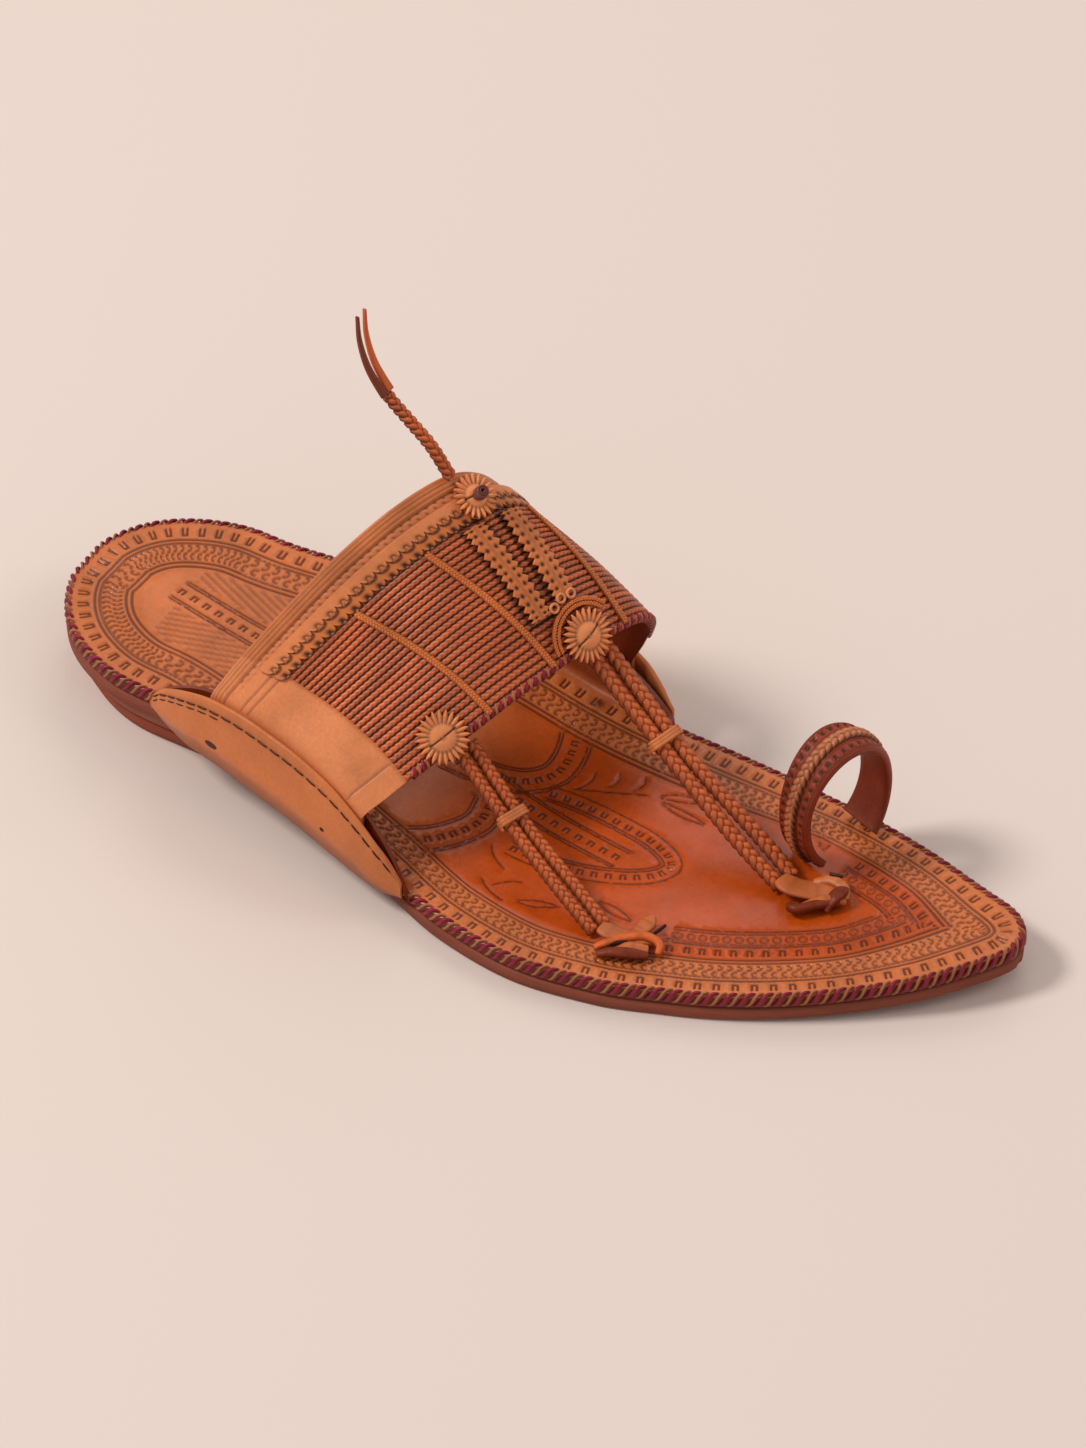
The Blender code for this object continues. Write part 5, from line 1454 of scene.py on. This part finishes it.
def make_filigree_cords(material):
    """The double cord and the small rings behind the centre rosette."""
    middle, across, forward, normal = band_frame(SEAT_CENTRE, OVER_CORDS)
    body = Body()
    start, span = math.radians(120.0), math.radians(155.0)
    for radius in (ROSETTE_RADIUS + GAP + 0.75, ROSETTE_RADIUS + GAP + 2.0):
        angle = start + span * np.linspace(0.0, 1.0, 50)
        out = across * np.sin(angle)[:, None] + forward * np.cos(angle)[:, None]
        path = middle + out * radius + normal * 0.55
        add_plait(body, path, normal, 1.25, 1.1, 2.4, RUN)
    add_piece("filigree_cords", body, material, ("filigree_arc",))
    rings = Body()
    for turn, distance in ((176.0, 12.0), (191.0, 12.4), (206.0, 12.0)):
        angle = math.radians(turn)
        centre = middle + (across * math.sin(angle) + forward * math.cos(angle)) * distance + normal * 0.6
        t = np.linspace(0.0, 2.0 * math.pi, 25)[:-1]
        s = np.linspace(0.0, 2.0 * math.pi, 9)[:-1]
        reach = 1.12 + 0.42 * np.cos(s)[None, :]
        ring = centre + (across * np.cos(t)[:, None, None]
                         + forward * np.sin(t)[:, None, None]) * reach[..., None]
        ring = ring + normal * (0.5 * np.sin(s))[None, :, None]
        rings.add_grid(ring, PALE, close_rows=True, close_columns=True)
    add_piece("filigree_rings", rings, material)


# Braids, ties, knots and tail

BraidRow = namedtuple("BraidRow", "share drop aside")
CENTRE_BRAID = (BraidRow(0.00, 0.000, 0.72), BraidRow(0.15, 0.015, 0.70), BraidRow(0.38, 0.034, 0.62),
                BraidRow(0.55, 0.036, 0.68), BraidRow(0.80, 0.020, 0.80), BraidRow(1.00, 0.000, 0.72))
SIDE_BRAID = (BraidRow(0.00, 0.000, 0.72), BraidRow(0.15, 0.018, 0.70), BraidRow(0.38, 0.036, 0.62),
              BraidRow(0.60, 0.032, 0.66), BraidRow(0.82, 0.014, 0.70), BraidRow(1.00, 0.000, 0.66))
UP = np.array([0.0, 0.0, 1.0])


def on_footbed(along, across, height):
    """A point over the footbed, at shares of the sole's length and the ball's width."""
    return np.array([along * SOLE_LENGTH, across * BALL_WIDTH, float(footbed_top(along)) + height])


def braid_start(seat):
    """Where a pair of braids comes out from under its rosette."""
    forward, normal = band_frame(seat, 0.0)[2:]
    edge = on_band(seat.around + BRAIDS_ASIDE, 1.0, 0.0)
    return edge + forward * (BRAID_THICKNESS / 2.0 + GAP + 0.6) - normal * 0.9


def braid_line(rows, start, end, side, width):
    """Points along one braid of a pair, which sags and keeps to its own side."""
    across = unit(np.cross(end - start, UP))
    length = np.linalg.norm(end - start)
    spacing = 0.80 * (1.12 * width + GAP) / 2.0 / BRAIDS_CLOSEST
    points = []
    for row in rows:
        point = start + (end - start) * row.share
        points.append(point + across * (side * spacing * row.aside) - UP * (length * row.drop))
    return np.array(points)


def make_braids(material, tie_material):
    """Both pairs of braids from the band to the footbed, each with its tie."""
    rest = BRAID_THICKNESS / 2.0 + 0.5
    pairs = (("centre", SEAT_CENTRE, CENTRE_BRAID, CENTRE_BRAID_WIDTH, on_footbed(0.769, -0.014, rest)),
             ("side", SEAT_SIDE, SIDE_BRAID, SIDE_BRAID_WIDTH, on_footbed(0.6525, -0.424, rest)))
    for name, seat, rows, width, end in pairs:
        start = braid_start(seat)
        lines = []
        for label, side in (("outer", 1), ("inner", -1)):
            path = smooth_path(braid_line(rows, start, end, side, width), 200)
            lines.append(path)
            body = Body()
            add_plait(body, path, UP, width * 0.96, BRAID_THICKNESS, 1.62 * width, THONG)
            add_piece("plait_%s_%s" % (name, label), body, material,
                      ("braid_%s_%s" % (name, label),))
        make_tie(name, lines, width, tie_material)


def make_tie(name, lines, width, material):
    """A thong wound three times round a pair of braids, with its end tucked under."""
    at = TIE_PLACE * (len(lines[0]) - 1)
    k = int(at)
    outer, inner = lines[0][k], lines[1][k]
    middle = (outer + inner) / 2.0
    ahead = unit(lines[0][k + 4] + lines[1][k + 4] - outer - inner)
    side = unit(outer - inner)
    up = unit(np.cross(side, ahead))
    half_width = np.linalg.norm(outer - inner) / 2.0 + width * 0.5 + 0.35
    half_height = BRAID_THICKNESS / 2.0 + GAP + 0.5
    turns = 3
    t = np.linspace(0.0, 2.0 * math.pi * turns, 40 * turns)
    cosine = np.sign(np.cos(t)) * np.abs(np.cos(t)) ** 0.6
    sine = np.sign(np.sin(t)) * np.abs(np.sin(t)) ** 0.6
    slide = (t / t[-1] - 0.5) * (TIE_LENGTH - 0.9)
    path = middle + side * (half_width * cosine)[:, None] + up * (half_height * sine)[:, None]
    path = path + ahead * slide[:, None]
    out = unit(side * cosine[:, None] + up * sine[:, None])
    body = Body()
    add_tube(body, path, out, 1.15, 0.6, 8, TAN)
    add_piece("tie_wound_" + name, body, material, ("tie_" + name,))


def add_strap(body, path, up, width, thickness, colour, bulge, taper):
    """A flat strip of leather along a path, a little crowned."""
    side, lift = path_sides(path, up)
    section_points = ((-0.5, 0.05), (-0.42, 0.0), (0.42, 0.0), (0.5, 0.05), (0.5, 0.75), (0.4, 0.95),
                      (0.2, 1.0), (-0.2, 1.0), (-0.4, 0.95), (-0.5, 0.75))
    rings = []
    for across, level in section_points:
        crown = bulge * (1.0 - (2.0 * across) ** 2)
        rings.append(path + side * (across * width * taper)[:, None] + lift * (level * thickness + crown))
    body.add_sweep(np.stack(rings, axis=1), colour)


def over_footbed(points, count):
    """A smooth path through points given as x, y and height over the footbed."""
    placed = [(x, y, float(footbed_top(x / SOLE_LENGTH)) + up) for x, y, up in points]
    return smooth_path(placed, count)


# A strap of a knot: its path as x, y and height, its width and thickness, and its widths at the two ends
Strap = namedtuple("Strap", "points width thickness first last colour")
CENTRE_FLAP = (
    Strap(((214.6, -3.2, 3.3), (218.5, -3.6, 2.9), (223.0, -1.4, 1.5), (227.5, 1.0, 1.5), (231.5, 2.6, 0.6)),
          8.2, 1.1, 0.62, 0.55, PAD),
    Strap(((222.0, 2.2, 1.0), (226.0, 3.6, 2.6), (230.5, 2.6, 2.4), (232.0, 0.6, 1.0)),
          2.8, 1.2, 0.6, 0.6, TAN),
)
CENTRE_TWIST = (
    Strap(((222.8, -8.2, 1.2), (221.4, -9.8, 1.6), (223.4, -10.2, 2.1), (226.0, -7.2, 1.9),
           (229.0, -4.2, 1.8), (231.5, -2.2, 1.2)), 2.5, 1.7, 0.7, 0.8, LEAF),
    Strap(((223.4, -7.2, 0.8), (226.5, -4.8, 2.2), (229.4, -2.6, 2.5), (232.2, -0.6, 1.0)),
          2.3, 1.3, 0.6, 0.8, PAD),
    Strap(((229.2, -4.6, 0.6), (230.2, -2.2, 3.1), (230.6, 0.6, 3.3), (229.6, 3.2, 1.6)),
          3.8, 1.1, 0.9, 0.8, LEAF),
    Strap(((226.0, 4.3, 0.6), (226.3, 4.9, 2.4), (226.5, 5.3, 4.4)), 3.6, 0.8, 1.0, 0.95, DARK),
)
SIDE_FLAP = (
    Strap(((183.8, -42.0, 3.0), (187.0, -42.0, 2.7), (190.5, -40.8, 1.6), (194.0, -38.6, 1.6),
           (197.5, -37.0, 0.7)), 6.6, 1.1, 0.65, 0.6, PAD),
    Strap(((190.0, -46.0, 0.8), (193.5, -43.8, 2.0), (197.6, -41.4, 1.3)), 3.6, 1.1, 0.5, 0.7, PAD),
    Strap(((192.6, -37.2, 1.4), (193.2, -34.2, 2.4), (193.6, -31.2, 3.0)), 4.6, 0.8, 1.0, 0.12, PAD),
)
SIDE_TWIST = (
    Strap(((185.6, -47.6, 1.0), (188.6, -44.6, 2.4), (192.6, -41.0, 3.0), (196.4, -38.6, 2.6),
           (199.6, -38.9, 1.7), (200.6, -41.4, 1.0)), 2.6, 1.3, 0.6, 0.6, THONG),
    Strap(((187.2, -49.0, 0.8), (190.4, -47.4, 1.9), (194.4, -45.6, 2.0), (198.6, -43.2, 1.0)),
          2.9, 1.3, 0.5, 0.7, LEAF),
    Strap(((186.6, -46.0, 1.3), (190.0, -44.4, 2.4), (192.0, -42.4, 2.4)), 1.8, 1.2, 0.6, 0.8, DARK),
    Strap(((195.6, -36.8, 1.6), (197.0, -34.8, 2.6), (198.0, -32.8, 3.4)), 0.8, 0.6, 1.0, 0.6, DARK),
)


def knot_body(straps):
    """The folded and wound straps that hold the ends of a pair of braids."""
    body = Body()
    for number, strap in enumerate(straps):
        path = over_footbed(strap.points, 36)
        t = np.linspace(0.0, 1.0, 36)
        swell = np.sin(math.pi * t) ** 0.7
        ends = np.where(t < 0.5, strap.first, strap.last)
        taper = ends + (1.0 - ends) * swell + 0.05 * np.sin(11.0 * t + number)
        tone = 1.0 - 0.22 * bell(t - 0.58, 0.12) - 0.18 * bell(t - 0.2, 0.1)
        colour = (np.array(strap.colour)[None, :] * tone[:, None])[:, None, :] * np.ones((1, 10, 1))
        lean = np.array([0.12 * math.sin(2.0 * number), 0.18 * math.cos(3.0 * number), 1.0])
        flat = strap.points[-1][2] - strap.points[0][2] < 3.0
        up = lean if flat else np.array([0.3, -0.9, 0.2])
        add_strap(body, path, up, strap.width, strap.thickness, colour, 0.3, taper)
    return body


def make_knots(material, dark_material):
    """The two knots in which the pairs of braids end."""
    add_piece("knot_flap_centre", knot_body(CENTRE_FLAP), material, ("knot_tab_centre",))
    add_piece("knot_flap_side", knot_body(SIDE_FLAP), material, ("knot_tab_side",))
    add_piece("knot_twist_centre", knot_body(CENTRE_TWIST), dark_material,
              ("knot_roll_centre",))
    add_piece("knot_twist_side", knot_body(SIDE_TWIST), dark_material, ("knot_roll_side",))


TailRow = namedtuple("TailRow", "back up")
TAIL_ROWS = (TailRow(0.27, 0.174), TailRow(0.46, 0.287), TailRow(0.66, 0.40), TailRow(0.71, 0.435))
TIP_ROWS = (TailRow(0.725, 0.447), TailRow(0.80, 0.515), TailRow(0.90, 0.628), TailRow(0.98, 0.812),
            TailRow(1.00, 1.00))


def make_tail(material):
    """The plaited thong that stands up behind the back rosette, and its two tips."""
    base = on_band(SEAT_BACK.around, 0.0, BAND_WALL / 2.0 + BINDING_RAISE + TAIL_DIAMETER / 2.0)
    base = base + np.array([TAIL_FORWARD, 0.0, 0.0])
    thickness = TAIL_DIAMETER * TAIL_FLAT
    seat = BAND_WALL / 2.0 + BINDING_RAISE + GAP + thickness / 2.0

    def point(row):
        return base + np.array([-row.back * TAIL_REACH, 0.0, row.up * TAIL_HEIGHT])

    path = smooth_path([on_band(SEAT_BACK.around, TAIL_SEAT, seat)] + [point(row) for row in TAIL_ROWS], 120)
    side_way = np.array([0.0, 1.0, 0.0])
    up = unit(np.cross(side_way, unit(np.gradient(path, axis=0))))
    body = Body()
    add_plait(body, path, up, TAIL_DIAMETER * 1.05, thickness, 6.4, THONG, 0.85)
    add_piece("tail_plait", body, material, ("tail_braid",))
    tip = smooth_path([point(row) for row in TIP_ROWS], 40)
    up = unit(np.cross(side_way, unit(np.gradient(tip, axis=0))))
    share = np.linspace(0.0, 1.0, 40)
    taper = 1.0 - 0.78 * share ** 1.3
    spread = TAIL_TIP / 2.0 + GAP / 2.0
    for name, side in (("front", 1), ("rear", -1)):
        body = Body()
        line = tip + side_way * (side * spread * (1.0 + 0.3 * share))[:, None]
        add_strap(body, line, up, TAIL_TIP, TAIL_TIP * 0.42, LEAF if side < 0 else THONG, 0.1, taper)
        add_piece("tail_blade_" + name, body, material, ("tail_tip_" + name,))


# Toe loop

def make_toe_ring(material, ridge_material):
    """The big toe's loop, punched along both sides, and its plaited ridge."""
    seat = on_footbed(0.779, 0.194, GAP)
    span_way = np.array([math.sin(LOOP_TURN), math.cos(LOOP_TURN), 0.0])
    wide_way = np.array([math.cos(LOOP_TURN), -math.sin(LOOP_TURN), 0.0])
    half_span = LOOP_SPAN / 2.0
    half_height = LOOP_HEIGHT * LOOP_ROUND
    centre = seat + UP * (LOOP_HEIGHT - half_height)
    foot = math.asin(min((LOOP_HEIGHT - half_height) / half_height, 1.0))
    angle = np.linspace(-foot, math.pi + foot, 220)
    narrow = 1.0 - 0.18 * np.cos(angle) ** 2
    arc = np.concatenate([[0.0], np.cumsum(np.hypot(np.diff(half_span * np.cos(angle)),
                                                    np.diff(half_height * np.sin(angle))))])
    wides = np.linspace(-0.5, 0.5, 41)
    wall = np.broadcast_to(LOOP_WALL * (0.72 + 0.28 * np.sqrt(np.clip(1.0 - (2.0 * wides) ** 4, 0.0, 1.0))),
                           (len(angle), 41)).copy()
    beside = np.abs(wides)[None, :] * LOOP_WIDTH
    notch = ((arc[:, None] / 3.0) % 1.0 - 0.5) * 3.0
    punches = bell(np.hypot(notch, beside - 4.0), 1.3)
    arms = bell(np.abs(notch) - 0.7 * np.clip(beside - 4.0, 0.0, 1.1), 0.4)
    arms = arms * ((beside > 4.0) & (beside < 5.2))
    lines = bell(beside - 2.6, 0.4) + bell(beside - 5.6, 0.35)
    cut = np.clip(1.2 * punches + arms + 0.6 * lines, 0.0, 1.0)
    wall -= 0.4 * cut
    wall += 0.3 * bell(beside - 5.2, 0.9) * (1.0 - cut)

    def ring(inset, wides):
        """Points of the loop, at insets from its outside and shares of its width."""
        points = centre + span_way * ((half_span - inset) * np.cos(angle)[:, None])[..., None]
        points = points + UP * ((half_height - inset) * np.sin(angle)[:, None])[..., None]
        points = points + wide_way * (wides[None, :] * LOOP_WIDTH * narrow[:, None])[..., None]
        points[..., 2] = np.maximum(points[..., 2], seat[2])
        return points

    outer = ring(LOOP_RIDGE + LOOP_WALL - wall, wides)
    inner = ring(LOOP_RIDGE + LOOP_WALL, np.linspace(0.5, -0.5, 9))
    body = Body()
    body.add_lined(outer, blend(LOOP_RED, DARK, cut), inner, SUEDE)
    add_piece("toe_ring", body, material, ("toe_loop",))
    ridge = ring(LOOP_RIDGE * 0.6, np.zeros(1))[:, 0]
    up = unit(ridge - centre)
    body = Body()
    add_plait(body, ridge, up, 4.0, 1.8, 6.6, RIDGE)
    add_piece("toe_ring_ridge", body, ridge_material)


# Scene

def make_stage():
    """A wide, flat pale floor."""
    colour = (0.755, 0.636, 0.574)
    material = bpy.data.materials.new("pale_floor")
    material.use_nodes = True
    shader = material.node_tree.nodes["Principled BSDF"]
    shader.inputs["Base Color"].default_value = (*colour, 1.0)
    shader.inputs["Roughness"].default_value = 0.9
    shader.inputs["Specular IOR Level"].default_value = 0.1
    mesh = bpy.data.meshes.new("floor")
    size = 6.0
    mesh.from_pydata([(-size, -size, 0.0), (size, -size, 0.0), (size, size, 0.0), (-size, size, 0.0)], [],
                     [(0, 1, 2, 3)])
    mesh.materials.append(material)
    floor = bpy.data.objects.new("floor", mesh)
    bpy.context.scene.collection.objects.link(floor)


def add_light(name, place, size, power, colour):
    """A round lamp that looks at the middle of the scene."""
    lamp = bpy.data.lights.new(name, "AREA")
    lamp.shape = "DISK"
    lamp.size = size
    lamp.energy = power
    lamp.color = colour
    holder = bpy.data.objects.new(name, lamp)
    holder.location = place
    holder.rotation_euler = (-Vector(place)).to_track_quat("-Z", "Y").to_euler()
    bpy.context.scene.collection.objects.link(holder)


def make_lights():
    """Soft daylight from the near left, with a broad sky."""
    add_light("key", (-1.35, -0.90, 2.0), 0.7, 37.0, (1.0, 0.975, 0.95))
    add_light("back", (-0.5, 1.5, 1.6), 1.3, 6.0, (1.0, 0.97, 0.95))
    add_light("side", (1.5, 0.9, 1.5), 1.0, 6.0, (1.0, 0.98, 0.96))
    world = bpy.data.worlds.new("studio")
    world.use_nodes = True
    world.node_tree.nodes["Background"].inputs["Color"].default_value = (1.0, 0.96, 0.94, 1.0)
    world.node_tree.nodes["Background"].inputs["Strength"].default_value = 0.50
    bpy.context.scene.world = world
    bpy.context.scene.view_settings.view_transform = "Standard"


VIEW_AZIMUTH = math.radians(31.16)
VIEW_HEIGHT = math.radians(43.71)
VIEW_DISTANCE = 3594.0
VIEW_TARGET = np.array([136.6, 7.5, 20.0])
FOCAL_PIXELS = 13813.0
PHOTO_HEIGHT = 1448
SENSOR = 36.0


def make_camera():
    """The photograph's view: a long lens from the outer front side."""
    back = np.array([math.sin(VIEW_AZIMUTH) * math.cos(VIEW_HEIGHT),
                     -math.cos(VIEW_AZIMUTH) * math.cos(VIEW_HEIGHT), math.sin(VIEW_HEIGHT)])
    place = Vector((VIEW_TARGET + HEEL_BACK + back * VIEW_DISTANCE) * MM)
    lens = bpy.data.cameras.new("camera")
    lens.sensor_width = SENSOR
    lens.sensor_fit = "AUTO"
    lens.lens = SENSOR * FOCAL_PIXELS / PHOTO_HEIGHT
    lens.clip_end = 50.0
    camera = bpy.data.objects.new("camera", lens)
    camera.location = place
    camera.rotation_euler = Vector(back).to_track_quat("Z", "Y").to_euler()
    bpy.context.scene.collection.objects.link(camera)
    bpy.context.scene.camera = camera


make_camera()
make_stage()
make_lights()

tooled = leather("tooled_leather", 0.30, 0.5, 0.04, 0.15, gloss=0.3)
smooth_tan = leather("smooth_tan_leather", 0.42, 0.45, 0.08, 0.12)
corded = leather("corded_leather", 0.40, 0.35, 0.05, 0.16, gloss=0.4)
plaited = leather("plaited_leather", 0.40, 0.4, 0.05, 0.18)
cut_edge = leather("cut_edge_leather", 0.62, 0.6, 0.12, 0.22, gloss=0.2, streak=(0.25, 0.25, 2.0))
lace = leather("waxed_lace", 0.42, 0.3, 0.05, 0.18)
dark_leather = leather("dark_leather", 0.42, 0.5, 0.08, 0.2, gloss=0.2)

footbed_rim = make_footbed(tooled)
make_rim_stitches(footbed_rim, lace)
make_sole(cut_edge)
make_ear_leaf("ear_lateral_leaf", LATERAL, smooth_tan, dark_leather)
make_ear_leaf("ear_medial_leaf", MEDIAL, smooth_tan, dark_leather)
make_band(corded, lace)
make_band_runs(plaited)
make_scallop_rows(smooth_tan)
make_pinked_strip("pinked_strip_outer_tooled", STRIP_OUTER, smooth_tan)
make_pinked_strip("pinked_strip_inner_tooled", STRIP_INNER, smooth_tan)
make_rosettes(smooth_tan, dark_leather)
make_filigree_cords(plaited)
make_braids(plaited, plaited)
make_knots(smooth_tan, dark_leather)
make_tail(plaited)
make_toe_ring(dark_leather, plaited)
